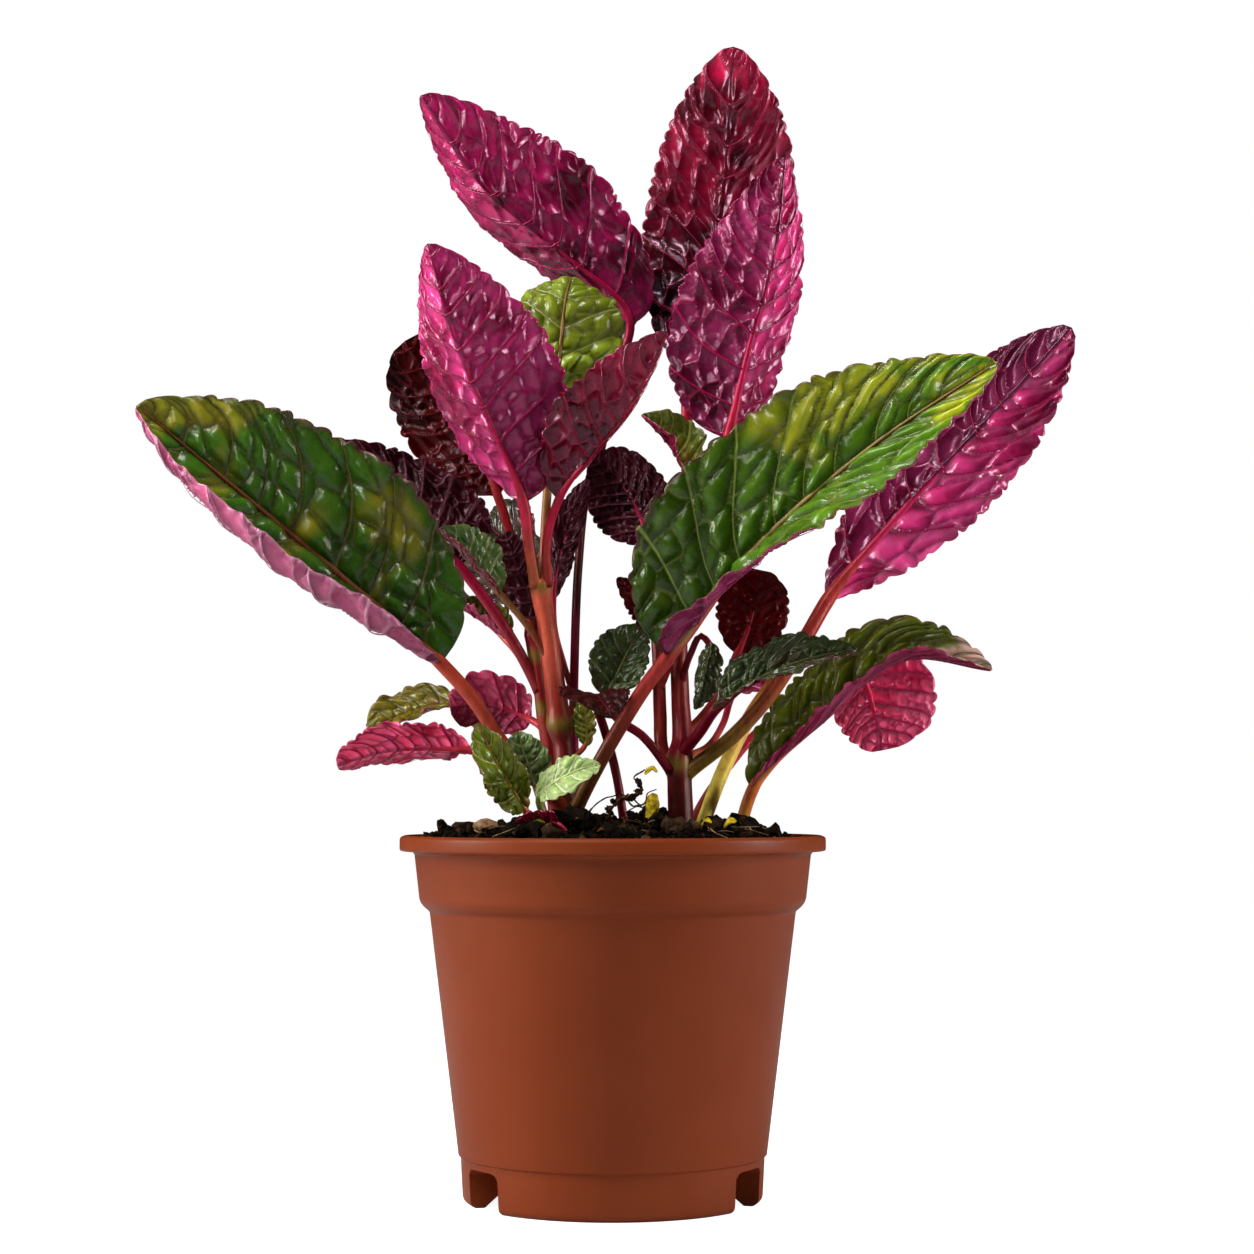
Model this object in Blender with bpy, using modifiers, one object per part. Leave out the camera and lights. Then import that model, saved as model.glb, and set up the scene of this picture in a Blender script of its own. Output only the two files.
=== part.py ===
# Potted waffle plant: a bushy foliage plant with puckered, scalloped leaves in a moulded nursery pot.
# The pot stands on z = 0 with its axis on the Z axis; the photograph's front is -Y. Metres, +Z up.

import math
from collections import namedtuple

import bmesh
import bpy
import numpy as np

MM = 0.001
GAP = 0.3                    # clearance between pieces that touch, mm
STALK_GAP = 0.45             # round a stalk in the soil, whose hole has fewer sides
TUBE_STEP = 9.0              # length of a stem between its rings

# Driving dimensions of the pot, mm
RIM_RADIUS = 60.0            # a 12 cm nursery pot
POT_HEIGHT = 102.0
COLLAR_RADIUS = 55.9
COLLAR_FOOT_RADIUS = 54.3
COLLAR_FOOT_Z = 83.5
BODY_RADIUS = 51.5           # just under the collar
BODY_TOP_Z = 80.7
BODY_FOOT_RADIUS = 43.2
LEDGE_Z = 13.2
FOOT_RADIUS = 42.5
FOOT_BASE_RADIUS = 41.0
WALL = 1.4
RECESS_Z = 3.0               # height of the hollow under the base
RECESS_RADIUS = 37.5
FLOOR_Z = 5.0                # inside of the base
POT_SIDES = 40

# Drain pockets in the foot, mm and degrees round from +X
POCKET_ANGLES = (212.5, 333.0, 92.5)
POCKET_WIDTH = 15.5
POCKET_TOP_Z = 11.0
POCKET_DEPTH_RADIUS = 33.5   # how far in the pocket reaches, from the axis
POCKET_ROUNDING = 2.0
HOUSING_REACH = 40.8         # the pocket's own wall runs out to just inside the foot's wall
HOUSING_ROUNDING = 2.6
HOUSING_FOOT_Z = 3.2         # it stands in the thickness of the base
BELOW = -5.0                 # cutters run out past the foot and the rim
DRAIN_HOLES = 4
DRAIN_RADIUS = 3.0
DRAIN_CIRCLE = 20.0
DRAIN_SIDES = 8
DRAIN_LENGTH = 20.0

# Soil, mm
SOIL_EDGE_Z = 100.4
SOIL_CROWN = 4.6             # how much higher the middle is
SOIL_RINGS = 6
SOIL_SIDES = 30

# Stone, mm
STONE_PLACE = (-35.0, -14.0)
STONE_RADII = (3.6, 3.0, 2.5)
STONE_LIFT = 1.2             # height of its centre above the soil
STONE_KNOB = 0.10
STONE_GAP = 0.35

# Leaf blades, mm
BLADE = 0.8                  # thickness
CREASE = 0.9                 # how far lateral veins run forward from the midrib to the margin
PUFF = 0.085                 # height of the swelling between veins, as a share of the blade's half width
SINK = 0.02                  # depth of the crease along a vein, as a share of it too
LOBE = 0.035                 # how far the margin stands out between veins, as a share of the width
NOTCH = 0.04                 # how far it is drawn in at a vein
WAVES = 2.5                  # waves along each margin
ARC_PLACES, ARC_WEIGHTS = np.polynomial.legendre.leggauss(5)

Size = namedtuple("Size", "cells columns stalk_rings")
LARGE = Size(6, 3, 5)
MEDIUM = Size(4, 3, 4)
SMALL = Size(3, 2, 3)

# A leaf: points along its stalk and its blade; pairs are for its left and right halves, face and ends for its
# base and tip
Leaf = namedtuple("Leaf", "name size tone stalk blade half face fold curl lift wave radius foot ends turn",
                  defaults=((0.62, 0.78), 1))

# Stems: points through which the axis runs, and the radius at each, mm
STEMS = {
    "stem_left_front": (
        ((-11.5, -2, 88), (-12, -2, 103), (-13.5, -1, 118), (-14.2, 0, 128), (-15, 0, 133),
         (-15.6, 0, 138), (-17, -0.5, 149), (-19, -2, 163), (-20.2, -3, 171), (-20.4, -3.5, 175)),
        (3.9, 3.9, 3.0, 2.6, 3.8, 3.0, 2.7, 2.5, 3.0, 2.9)),
    "stem_left_back": (
        ((-15, 11, 88), (-15.5, 11, 103), (-17.5, 10, 120), (-19.5, 9, 136), (-20.5, 8.5, 141),
         (-21.5, 8, 149), (-22.2, 8, 154), (-24, 8, 161)),
        (2.6, 2.6, 2.2, 2.4, 1.9, 1.8, 2.3, 1.8)),
    "stem_tall": (
        ((-8, 12, 88), (-9.5, 11, 103), (-11.2, 11, 127), (-11, 11, 155), (-10, 14, 180),
         (-8, 17, 200), (-2, 18, 222)),
        (1.5, 1.5, 1.3, 1.2, 1.2, 1.2, 1.2)),
    "stem_right": (
        ((19.2, -4, 88), (19.2, -4, 104), (18.8, -4, 117), (18.8, -3.5, 123), (19.5, -1, 128),
         (19.2, 3, 140), (18.8, 6, 155), (19, 8, 170), (19.5, 9, 180)),
        (3.5, 3.5, 3.3, 3.8, 2.8, 2.5, 2.4, 2.3, 2.4)),
    "stem_right_branch": (
        ((17, -2.5, 119), (14, 0, 126), (13.4, 2, 136), (13, 5, 150), (12, 9, 166), (11.6, 10.5, 174)),
        (1.8, 1.8, 1.8, 1.7, 1.6, 1.8)),
}
BRANCH = "stem_right_branch"
BRANCH_PARENT = "stem_right"

LEAVES = (
    Leaf("leaf_top_left", LARGE, "magenta", ((-1.9, 18, 222.6), (1, 17, 236)),
         ((5, 14, 250), (-15, 9, 270), (-37, 2, 288), (-55, -8, 312)),
         (25, 22), ((0, 1, 0.2), (0.1, 1, 0.1)), (8, 62), (10, 5), (0, 0), 1.5, 1.2, ""),
    Leaf("leaf_top_centre", LARGE, "crimson", ((19.4, 11, 178), (21, 15, 190), (21.5, 18, 214)),
         ((22, 19, 238), (27, 21, 261), (32, 21, 288), (35, 9, 331)),
         (23, 23), ((0, 1, 0), (0, 1, 0.2)), (12, 14), (8, 8), (0, 0), 1.5, 1.6, "stem_right", (0.62, 0.7)),
    Leaf("leaf_top_right", LARGE, "magenta", ((21.3, 7.6, 176), (26, 6, 188), (30, 5, 202)),
         ((33, 4, 215), (39, 1, 241), (46, -3, 267), (49, -6, 295)),
         (19, 25), ((0, 1, 0), (0, 1, 0.1)), (50, 12), (10, 6), (0, 0), 1.5, 1.7, "stem_right", (0.5, 0.78)),
    Leaf("leaf_front_left", LARGE, "magenta", ((-21.7, -4, 172), (-23.5, -8, 183)),
         ((-25, -12, 195), (-33, -20, 214), (-43, -28, 238), (-51, -30, 265)),
         (25, 18), ((0, 1, 0.2), (0, 1, 0.2)), (6, 42), (10, 8), (0, 0), 1.4, 1.5,
         "stem_left_front", (0.62, 0.8)),
    Leaf("leaf_front_right", MEDIUM, "crimson", ((-18.2, -4, 172), (-18.6, -8, 184)),
         ((-15, -12, 196), (-6, -22, 207), (6, -36, 221), (15, -44, 238)),
         (16, 17), ((-0.2, 0.9, 0.4), (-0.3, 0.9, 0.3)), (62, 12), (10, 10), (0, 0), 1.2, 1.2,
         "stem_left_front"),
    Leaf("leaf_pale_curled", MEDIUM, "green", ((-20, -1.6, 172), (-19, 3, 196)),
         ((-16.5, 5, 224), (-15, 2, 242), (-13.5, 3, 256), (-12, 10, 263)),
         (17, 18), ((0, -1, 0.2), (0, -1, 0.5)), (-8, -5), (-14, -14), (0, 0), 1.2, 1.2,
         "stem_left_front", (0.62, 0.5)),
    Leaf("leaf_left_long", LARGE, "green", ((-12.5, -3, 108), (-20, -7, 116), (-31, -10, 128),
         (-39, -12, 140)),
         ((-48, -13, 150), (-74, -17, 173), (-103, -22, 197), (-132, -24, 221)),
         (25, 32), ((0, -0.75, 0.6), (0, -0.75, 0.6)), (-5, 28), (150, 6), (35, 0), 1.2, 1.9,
         "stem_left_front", (0.5, 0.75), 2.5),
    Leaf("leaf_left_dark", LARGE, "dark", ((-21, 8.4, 143), (-28, 7, 156), (-36.5, 6.5, 169)),
         ((-44, 6, 178.5), (-57, 9, 191), (-70, 12.5, 204), (-83, 15, 216)),
         (20, 7), ((-0.3, 0.9, 0.3), (-0.3, 0.9, 0.3)), (15, 70), (10, 10), (0, 0), 1.2, 1.5,
         "stem_left_back", (0.28, 0.78)),
    Leaf("leaf_left_small_green", SMALL, "green", ((-17.2, -1, 150), (-25, -3, 162)),
         ((-32, -3, 170), (-38, -5, 176), (-44, -7, 183), (-49, -9, 188)),
         (7, 10), ((0, -0.85, 0.5), (0, -0.85, 0.5)), (60, 5), (40, 6), (0, 0), 0.7, 0.9,
         "stem_left_front"),
    Leaf("leaf_left_red", MEDIUM, "crimson", ((-23.8, 8.5, 159), (-25, 18, 169), (-29, 21, 185)),
         ((-34, 22, 201), (-42, 28, 218), (-52, 32, 234), (-62, 30, 248)),
         (16, 18), ((-0.2, 1, 0.2), (-0.2, 1, 0.3)), (15, 18), (8, 8), (0, 0), 1.4, 1.3,
         "stem_left_back", (0.62, 0.5)),
    Leaf("leaf_left_small_pink", SMALL, "green", ((-20.4, 9, 139), (-25, 15, 150)),
         ((-31, 20, 158), (-37, 24, 163), (-43, 26, 167), (-48, 26, 171)),
         (7, 8), ((0, -0.5, 0.85), (0, -0.5, 0.85)), (50, 15), (20, 10), (0, 0), 0.7, 1.0,
         "stem_left_back"),
    Leaf("leaf_dark_behind", SMALL, "dark", ((-21.4, 8.4, 149), (-20, 9.5, 157)),
         ((-20.5, 9.5, 164), (-24, 9.5, 172), (-28, 9.5, 181), (-31, 10, 189)),
         (6, 10), ((0, 1, 0), (0, 1, 0)), (15, 20), (10, 10), (0, 0), 0.8, 1.0,
         "stem_left_back", (0.5, 0.55)),
    Leaf("leaf_narrow_dark", MEDIUM, "dark", ((-11.2, 11, 141), (-14.5, 8, 152), (-16.6, 7, 160)),
         ((-17, 5, 169), (-15.5, 3, 180), (-12, 1, 192), (-7, -2, 203)),
         (7, 7), ((0, 1, 0), (0, 1, 0)), (45, 35), (15, 10), (0, 0), 0.7, 0.8, "stem_tall"),
    Leaf("leaf_middle_dark", MEDIUM, "dark", ((11.8, 10, 171), (12.5, 12, 180)),
         ((10.5, 12, 186), (7, 13, 195), (1, 11.5, 204), (-6, 8, 210)),
         (13, 13), ((0, 1, 0), (0, 1, 0)), (20, 15), (10, 10), (0, 0), 1.0, 1.1, BRANCH, (0.5, 0.6)),
    Leaf("leaf_middle_narrow", SMALL, "green", ((17.8, 7.3, 177), (18.6, 6.5, 190)),
         ((22, 7, 203), (18, 8, 211), (13, 6, 217), (8, 4, 222)),
         (8, 10), ((0.2, -0.5, 0.8), (0.2, -0.5, 0.8)), (30, 60), (15, 15), (0, 0), 0.7, 0.9,
         "stem_right"),
    Leaf("leaf_right_long", LARGE, "green", ((-11.5, -4, 107), (-7, -9, 116), (2, -12.5, 132),
         (10, -14, 144.5)),
         ((15.5, -14.5, 151.5), (38, -22.5, 180), (70, -27, 208), (107, -24, 233)),
         (30, 20), ((0, -0.75, 0.6), (0, -0.75, 0.6)), (28, -12), (6, 30), (0, 95), 1.4, 2.0,
         "stem_left_front", (0.42, 0.78)),
    Leaf("leaf_far_right", LARGE, "magenta", ((20, -4, 119), (33, -5.5, 129), (44, -6, 141), (55, -4, 158.5)),
         ((61, 0, 168.5), (79, 4, 190), (107, 9, 220), (133.5, 12, 249)),
         (20, 19), ((0, 1, 0), (0, 1, 0)), (25, 20), (8, 8), (0, 0), 1.3, 2.0, "stem_right", (0.8, 0.72)),
    Leaf("leaf_right_small_red", SMALL, "crimson", ((19.4, 0, 130), (25, 9, 135), (31, 15, 143)),
         ((36, 17, 154), (39, 16, 161), (41, 15, 169), (43, 12, 178)),
         (11, 11), ((0, 1, 0), (0, 1, 0)), (12, 12), (8, 8), (0, 0), 0.9, 1.2, "stem_right", (0.5, 0.5)),
    Leaf("leaf_right_arching", LARGE, "green", ((36, 8, 95), (37, 8, 106)),
         ((40, 8, 115), (59, 6, 134), (83, 1, 152), (107, -8, 148)),
         (15, 6), ((-0.3, -0.8, 0.5), (0, -0.85, 0.5)), (12, 80), (6, 10), (0, 0), 1.2, 1.7, "soil"),
    Leaf("leaf_right_hanging", MEDIUM, "magenta", ((22, 4, 95), (33, 16, 123), (44, 25, 142), (57, 31, 155)),
         ((68, 34, 155), (74, 33, 147), (77, 31, 137), (79, 29, 126)),
         (12.5, 20), ((0.1, 1, 0.2), (0.1, 1, 0)), (12, 12), (8, 8), (0, 0), 1.0, 2.0, "soil", (0.5, 0.5)),
    Leaf("leaf_right_front", MEDIUM, "green", ((19.6, -4.5, 125), (24.5, -12, 131)),
         ((28.5, -19, 137), (37, -25, 143.5), (51, -29, 149.5), (67, -29, 153)),
         (9, 7), ((-0.2, -0.7, 0.7), (0, -0.7, 0.7)), (28, 15), (6, 12), (0, 30), 0.9, 1.5, "stem_right"),
    Leaf("leaf_middle_strip", SMALL, "crimson", ((13.3, 3, 143), (16, 0, 150)),
         ((16, -3, 157), (12, -6, 163), (7, -9, 169), (1, -10, 174)),
         (6, 6), ((0, 1, 0), (0, 1, 0)), (35, 25), (10, 10), (0, 0), 0.5, 0.8, BRANCH),
    Leaf("leaf_middle_drooping", SMALL, "green", ((19.2, 4, 144), (22, -1, 153), (25, -3, 158)),
         ((27, -4, 156), (26, -6, 149), (25, -6, 143), (23, -6, 137)),
         (5, 5), ((0.3, -1, 0), (0.3, -1, 0)), (10, 40), (10, 10), (0, 0), 0.5, 0.9, "stem_right"),
    Leaf("leaf_shoot_upright", SMALL, "dark_green", ((16.2, -5.6, 120), (8, -6.5, 130), (1, -4, 135)),
         ((-1.5, -1, 141), (1.5, 0, 148), (5, 1, 155), (9, 2, 161.5)),
         (10, 8), ((0, -1, 0.3), (0, -1, 0.3)), (18, 18), (8, 8), (0, 0), 0.6, 1.2, "stem_right"),
    Leaf("leaf_shoot_forward", SMALL, "dark_green", ((4, 4, 95), (3, 4, 106), (0.5, 3, 121), (-2.5, 0, 132)),
         ((-4.5, -5, 138), (-4.5, -13, 141), (-3, -21, 139), (0, -28, 134)),
         (9, 11), ((0, -0.3, 1), (0, -0.2, 1)), (12, 12), (-8, -8), (0, 0), 0.8, 1.2, "soil"),
    Leaf("leaf_shoot_olive", SMALL, "green", ((-13.8, 0, 122), (-11, 1.5, 124)),
         ((-8, 2, 127), (-7.5, 2, 132), (-8, 2, 137), (-9, 2, 142)),
         (4, 3), ((0, -1, 0), (0, -1, 0)), (15, 15), (5, 5), (0, 0), 0.4, 0.7, "stem_left_front"),
    Leaf("leaf_low_left", MEDIUM, "magenta", ((-16.5, 11, 116), (-28, 11, 122.5)),
         ((-41, 10, 126), (-54, 11, 126.5), (-67, 10, 125.5), (-79, 7, 121.5)),
         (8, 9), ((0, 0.8, 0.6), (0, 0.8, 0.6)), (30, 25), (10, 10), (0, 0), 0.9, 1.2,
         "stem_left_back", (0.5, 0.5)),
    Leaf("leaf_low_left_olive", SMALL, "green", ((-18.6, 11, 124), (-30, 27, 132)),
         ((-46, 33, 140), (-55, 36, 139), (-64, 37, 136), (-73, 36, 132)),
         (10, 9), ((0, -0.6, 0.8), (0, -0.6, 0.8)), (20, 20), (8, 8), (0, 0), 0.8, 1.1,
         "stem_left_back", (0.5, 0.45)),
    Leaf("leaf_low_left_pink", SMALL, "magenta", ((-19, 9.5, 130), (-21, 14, 133)),
         ((-24, 17, 135), (-31, 18.5, 138), (-39, 19, 139.5), (-47.5, 18, 138.5)),
         (10, 10), ((0, 0.9, 0.4), (0, 0.9, 0.4)), (12, 12), (8, 8), (0, 0), 0.8, 1.0,
         "stem_left_back", (0.5, 0.45)),
    Leaf("leaf_low_front_green", SMALL, "dark_green", ((-18, -13, 95), (-21, -17, 104)),
         ((-24, -20, 109), (-28, -25, 116), (-33, -28, 125), (-37, -27, 133)),
         (9, 6), ((0.2, -0.9, 0.3), (0.2, -0.9, 0.3)), (25, 25), (8, 8), (0, 0), 0.8, 1.0, "soil"),
    Leaf("leaf_low_front_crinkled", SMALL, "dark_green", ((-16.5, -8.5, 95), (-19, -10.5, 108)),
         ((-21.5, -13, 116), (-23, -14.5, 121), (-25, -15, 126), (-26, -14, 131)),
         (7, 7), ((0, -1, 0.2), (0, -1, 0.2)), (20, 20), (8, 8), (0, 0), 0.6, 0.9, "soil"),
    Leaf("leaf_low_front_pale", SMALL, "pale_green", ((-14, -19, 95), (-17.5, -23, 105)),
         ((-20, -27, 112.5), (-15, -32, 117), (-9, -34, 120), (-3, -33, 121.5)),
         (5.5, 7), ((0.2, -0.8, 0.6), (0.2, -0.8, 0.6)), (10, 12), (5, 5), (0, 0), 0.5, 0.9, "soil"),
    Leaf("leaf_low_front_tiny", SMALL, "crimson", ((-10, -27, 95), (-12.5, -30, 103)),
         ((-15, -33, 105.5), (-18, -35, 106.5), (-22, -36, 106.5), (-26, -36, 106)),
         (3.5, 3), ((0, 0.6, 0.8), (0, 0.6, 0.8)), (10, 10), (5, 5), (0, 0), 0.3, 0.7, "soil"),
    Leaf("leaf_right_behind", SMALL, "magenta", ((20.5, -1, 124), (27, 10, 127), (32, 22, 134)),
         ((36, 29, 144), (41, 30, 149), (46, 30, 154), (51, 29, 159)),
         (7, 7), ((-0.4, 1, 0), (-0.4, 1, 0)), (12, 12), (8, 8), (0, 0), 0.6, 0.9, "stem_right"),
    Leaf("leaf_back_left", LARGE, "magenta", ((-23, 9, 156), (-23, 18, 163)),
         ((-24, 26, 170), (-28, 37, 182), (-34, 47, 191), (-40, 56, 197)),
         (16, 16), ((-0.8, -0.3, 0.6), (-0.8, -0.3, 0.6)), (18, 18), (8, 8), (0, 0), 1.4, 1.4,
         "stem_left_back"),
    Leaf("leaf_back_right", LARGE, "green", ((19.3, 9.4, 168), (28, 21, 178)),
         ((36, 30, 187), (52, 36, 202), (70, 41, 217), (88, 43, 228)),
         (20, 20), ((-0.3, -0.5, 0.8), (-0.3, -0.3, 0.9)), (18, 18), (8, 8), (0, 0), 1.4, 1.5, "stem_right"),
    Leaf("leaf_back_top", MEDIUM, "crimson", ((-4.8, 17.6, 208), (-1.5, 26, 224)),
         ((2, 32, 246), (0, 41, 263), (-5, 48, 279), (-11, 54, 292)),
         (10, 11), ((-0.3, -0.8, 0.5), (-0.3, -0.8, 0.5)), (18, 18), (8, 8), (0, 0), 1.2, 1.1, "stem_tall"),
    Leaf("leaf_back_middle", MEDIUM, "green", ((18.6, 7.5, 162), (18, 15, 166)),
         ((17, 22, 171), (18, 34, 181), (20, 46, 190), (23, 55, 195)),
         (11, 12), ((-0.4, -0.6, 0.7), (-0.4, -0.6, 0.7)), (18, 18), (8, 8), (0, 0), 1.1, 1.2, "stem_right"),
    Leaf("leaf_back_low_right", MEDIUM, "magenta", ((20, 23, 95), (23.6, 24, 106), (34, 27, 122),
         (43, 32, 132)),
         ((51, 37, 137), (61, 47, 140), (72, 53, 143), (83, 57, 144)),
         (9, 7), ((-0.2, -0.3, 0.93), (-0.2, -0.3, 0.93)), (18, 18), (8, 8), (0, 0), 1.0, 1.3, "soil"),
)

# Colour, roughness and metallic value of each finish
FINISHES = {
    "pot": ((0.145, 0.030, 0.014, 1), 0.42, 0.0),
    "soil": ((0.012, 0.008, 0.006, 1), 0.95, 0.0),
    "stone": ((0.28, 0.17, 0.09, 1), 0.85, 0.0),
    "stem": ((0.25, 0.035, 0.03, 1), 0.4, 0.0),
    "magenta": ((0.32, 0.015, 0.10, 1), 0.35, 0.0),
    "crimson": ((0.11, 0.005, 0.022, 1), 0.35, 0.0),
    "dark": ((0.035, 0.006, 0.018, 1), 0.3, 0.0),
    "green": ((0.075, 0.14, 0.012, 1), 0.3, 0.0),
    "dark_green": ((0.02, 0.05, 0.015, 1), 0.3, 0.0),
    "pale_green": ((0.26, 0.45, 0.10, 1), 0.35, 0.0),
}


def clear_scene():
    for thing in list(bpy.data.objects):
        bpy.data.objects.remove(thing, do_unlink=True)


def new_collection(name):
    made = bpy.data.collections.new(name)
    bpy.context.scene.collection.children.link(made)
    return made


def finish(name):
    """The finish's material, made the first time that it is asked for."""
    if name in bpy.data.materials:
        return bpy.data.materials[name]
    colour, roughness, metallic = FINISHES[name]
    material = bpy.data.materials.new(name)
    material.use_nodes = True
    shader = material.node_tree.nodes["Principled BSDF"]
    shader.inputs["Base Color"].default_value = colour
    shader.inputs["Roughness"].default_value = roughness
    shader.inputs["Metallic"].default_value = metallic
    material.diffuse_color = colour
    return material


def new_object(name, mesh, collection, material=None):
    made = bpy.data.objects.new(name, mesh)
    collection.objects.link(made)
    if material:
        mesh.materials.append(finish(material))
    return made


def as_cutter(thing):
    thing.hide_render = True
    thing.display_type = "WIRE"
    return thing


def cut(target, cutter):
    """Takes the cutter away from the target."""
    cutting = target.modifiers.new("cut_" + cutter.name, "BOOLEAN")
    cutting.operation = "DIFFERENCE"
    cutting.object = cutter
    return cutting


def smooth_curve(points, steps=240):
    """Cubic curve through the points: positions, tangents, distance along it, and that at each point."""
    knots = np.array(points, float)
    chord = np.concatenate([[0.0], np.cumsum(np.linalg.norm(np.diff(knots, axis=0), axis=1))])
    slope = np.gradient(knots, chord, axis=0)
    place = np.linspace(0, chord[-1], steps)
    span = np.clip(np.searchsorted(chord, place, side="right") - 1, 0, len(knots) - 2)
    width = (chord[span + 1] - chord[span])[:, None]
    s = (place[:, None] - chord[span][:, None]) / width
    position = ((2 * s**3 - 3 * s**2 + 1) * knots[span] + (s**3 - 2 * s**2 + s) * width * slope[span]
                + (3 * s**2 - 2 * s**3) * knots[span + 1] + (s**3 - s**2) * width * slope[span + 1])
    run = np.concatenate([[0.0], np.cumsum(np.linalg.norm(np.diff(position, axis=0), axis=1))])
    tangent = np.gradient(position, run, axis=0)
    return position, tangent, run, np.interp(chord, place, run)


def along(run, values, distance):
    """Each coordinate of the values, read at the given distances along the run."""
    return np.stack([np.interp(distance, run, values[:, k]) for k in range(3)], axis=-1)


def unit(vectors):
    return vectors / np.linalg.norm(vectors, axis=-1, keepdims=True)


def tube(name, points, radii, collection, material=None, longer=0.0, last=-1, count=None):
    """Round rod through the points up to the last one asked for, made longer at both ends: a bevelled curve
    turned into a welded mesh."""
    position, _, run, knots = smooth_curve(points)
    count = count or max(3, round(run[-1] / TUBE_STEP))
    places = np.linspace(0, knots[last], count)
    centres = along(run, position, places)
    centres[0] -= unit(centres[1] - centres[0]) * longer
    centres[-1] += unit(centres[-1] - centres[-2]) * longer
    centres *= MM
    thick = np.interp(places, knots, radii)
    curve = bpy.data.curves.new(name + "_axis", "CURVE")
    curve.dimensions = "3D"
    curve.bevel_depth = MM
    curve.bevel_resolution = 2
    curve.use_fill_caps = True
    spline = curve.splines.new("POLY")
    spline.points.add(count - 1)
    for point, centre, radius in zip(spline.points, centres, thick):
        point.co = (*centre, 1)
        point.radius = radius
    rod = bpy.data.objects.new(name + "_axis", curve)
    collection.objects.link(rod)
    bpy.context.view_layer.update()
    mesh = bpy.data.meshes.new_from_object(rod.evaluated_get(bpy.context.evaluated_depsgraph_get()))
    bpy.data.objects.remove(rod)
    bm = bmesh.new()
    bm.from_mesh(mesh)
    bmesh.ops.remove_doubles(bm, verts=bm.verts, dist=0.00001)
    bmesh.ops.recalc_face_normals(bm, faces=bm.faces)
    bm.to_mesh(mesh)
    bm.free()
    mesh.name = name
    mesh.shade_smooth()
    return new_object(name, mesh, collection, material)


def blade_width(u, ends):
    """Half width of a blade along its length, from 0 to 1: a power of the distance from each end, the lower
    the fuller that end, scaled to 1 where it is widest."""
    base, tip = ends
    widest = base / (base + tip)
    return (u / widest) ** base * ((1 - u) / (1 - widest)) ** tip


def cross_arc(start, curl, v, turn):
    """Way out and way up of a cross-section of slope start + curl * v**turn, as sums over Gauss places."""
    spots = v[..., None] * (ARC_PLACES + 1) / 2
    slope = start[..., None] + curl[..., None] * spots**turn
    return v * (np.cos(slope) @ ARC_WEIGHTS) / 2, v * (np.sin(slope) @ ARC_WEIGHTS) / 2


def leaf_rings(leaf):
    """Closed sections of a leaf: round ones up the stalk, then thin ones across the puckered blade."""
    rows = 2 * leaf.size.cells + 1
    columns = leaf.size.columns
    path = leaf.stalk + leaf.blade
    position, tangent, run, knots = smooth_curve(path)
    base = knots[len(leaf.stalk)]
    reach = run[-1] - base
    face_base, face_tip = np.array(leaf.face, float)

    def frame(distance):
        centre = along(run, position, distance)
        forward = unit(along(run, tangent, distance))
        share = np.clip((distance - base) / reach, 0, 1)[..., None]
        upper = (1 - share) * face_base + share * face_tip
        upper = unit(upper - np.sum(upper * forward, axis=-1, keepdims=True) * forward)
        return centre, upper, np.cross(forward, upper)

    across = 2 * columns + 1
    half_turn = math.pi * (np.arange(across) + 0.5) / across
    round_x = -np.cos(np.concatenate([half_turn, half_turn + math.pi]))
    round_z = np.sin(np.concatenate([half_turn, half_turn + math.pi]))
    rings = []
    for distance in np.linspace(0, base, leaf.size.stalk_rings):
        centre, upper, side = frame(np.array(distance))
        rings.append(centre + leaf.radius * (round_x[:, None] * side + round_z[:, None] * upper))

    v = np.abs(np.linspace(-1, 1, across))
    sign = np.sign(np.linspace(-1, 1, across))
    left = sign < 0
    half = np.where(left, *leaf.half)
    fold = np.radians(np.where(left, *leaf.fold))
    curl = np.radians(np.where(left, *leaf.curl))
    lift = np.radians(np.where(left, *leaf.lift))
    for row in range(1, rows):
        q = row / rows
        u = q + CREASE * (0.75 * v + 0.25 * v**2) * q * (1 - q)
        puff = row % 2
        centre, upper, side = frame(base + u * reach)
        shape = blade_width(u, leaf.ends)
        width = half * shape * (1 + (LOBE if puff else -NOTCH) * v)
        width = np.maximum(width, leaf.radius * (1 - q))
        start = fold + lift * (1 - u) ** 2
        end = start + curl * v**leaf.turn
        out, rise = cross_arc(start, curl, v, leaf.turn)
        out, rise = width * out, width * rise
        rise = rise + leaf.wave * v**2 * np.sin(math.tau * WAVES * u + 2 * sign) * shape
        bump = (PUFF if puff else -SINK) * half * np.sin(math.pi * v**0.8) * shape
        normal = np.cos(end)[:, None] * upper - (np.sin(end) * sign)[:, None] * side
        middle = centre + (sign * out)[:, None] * side + rise[:, None] * upper + bump[:, None] * normal
        keel = np.where(v == 0, np.maximum(BLADE / 2, leaf.radius * (1 - q)), BLADE / 2)
        top = middle + normal * BLADE / 2
        bottom = middle - normal * keel[:, None]
        rings.append(np.concatenate([top, bottom[::-1]]))
    centre, upper, _ = frame(np.array(base + reach))
    return rings, np.array([centre + upper * BLADE / 2, centre - upper * BLADE / 2])


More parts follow.
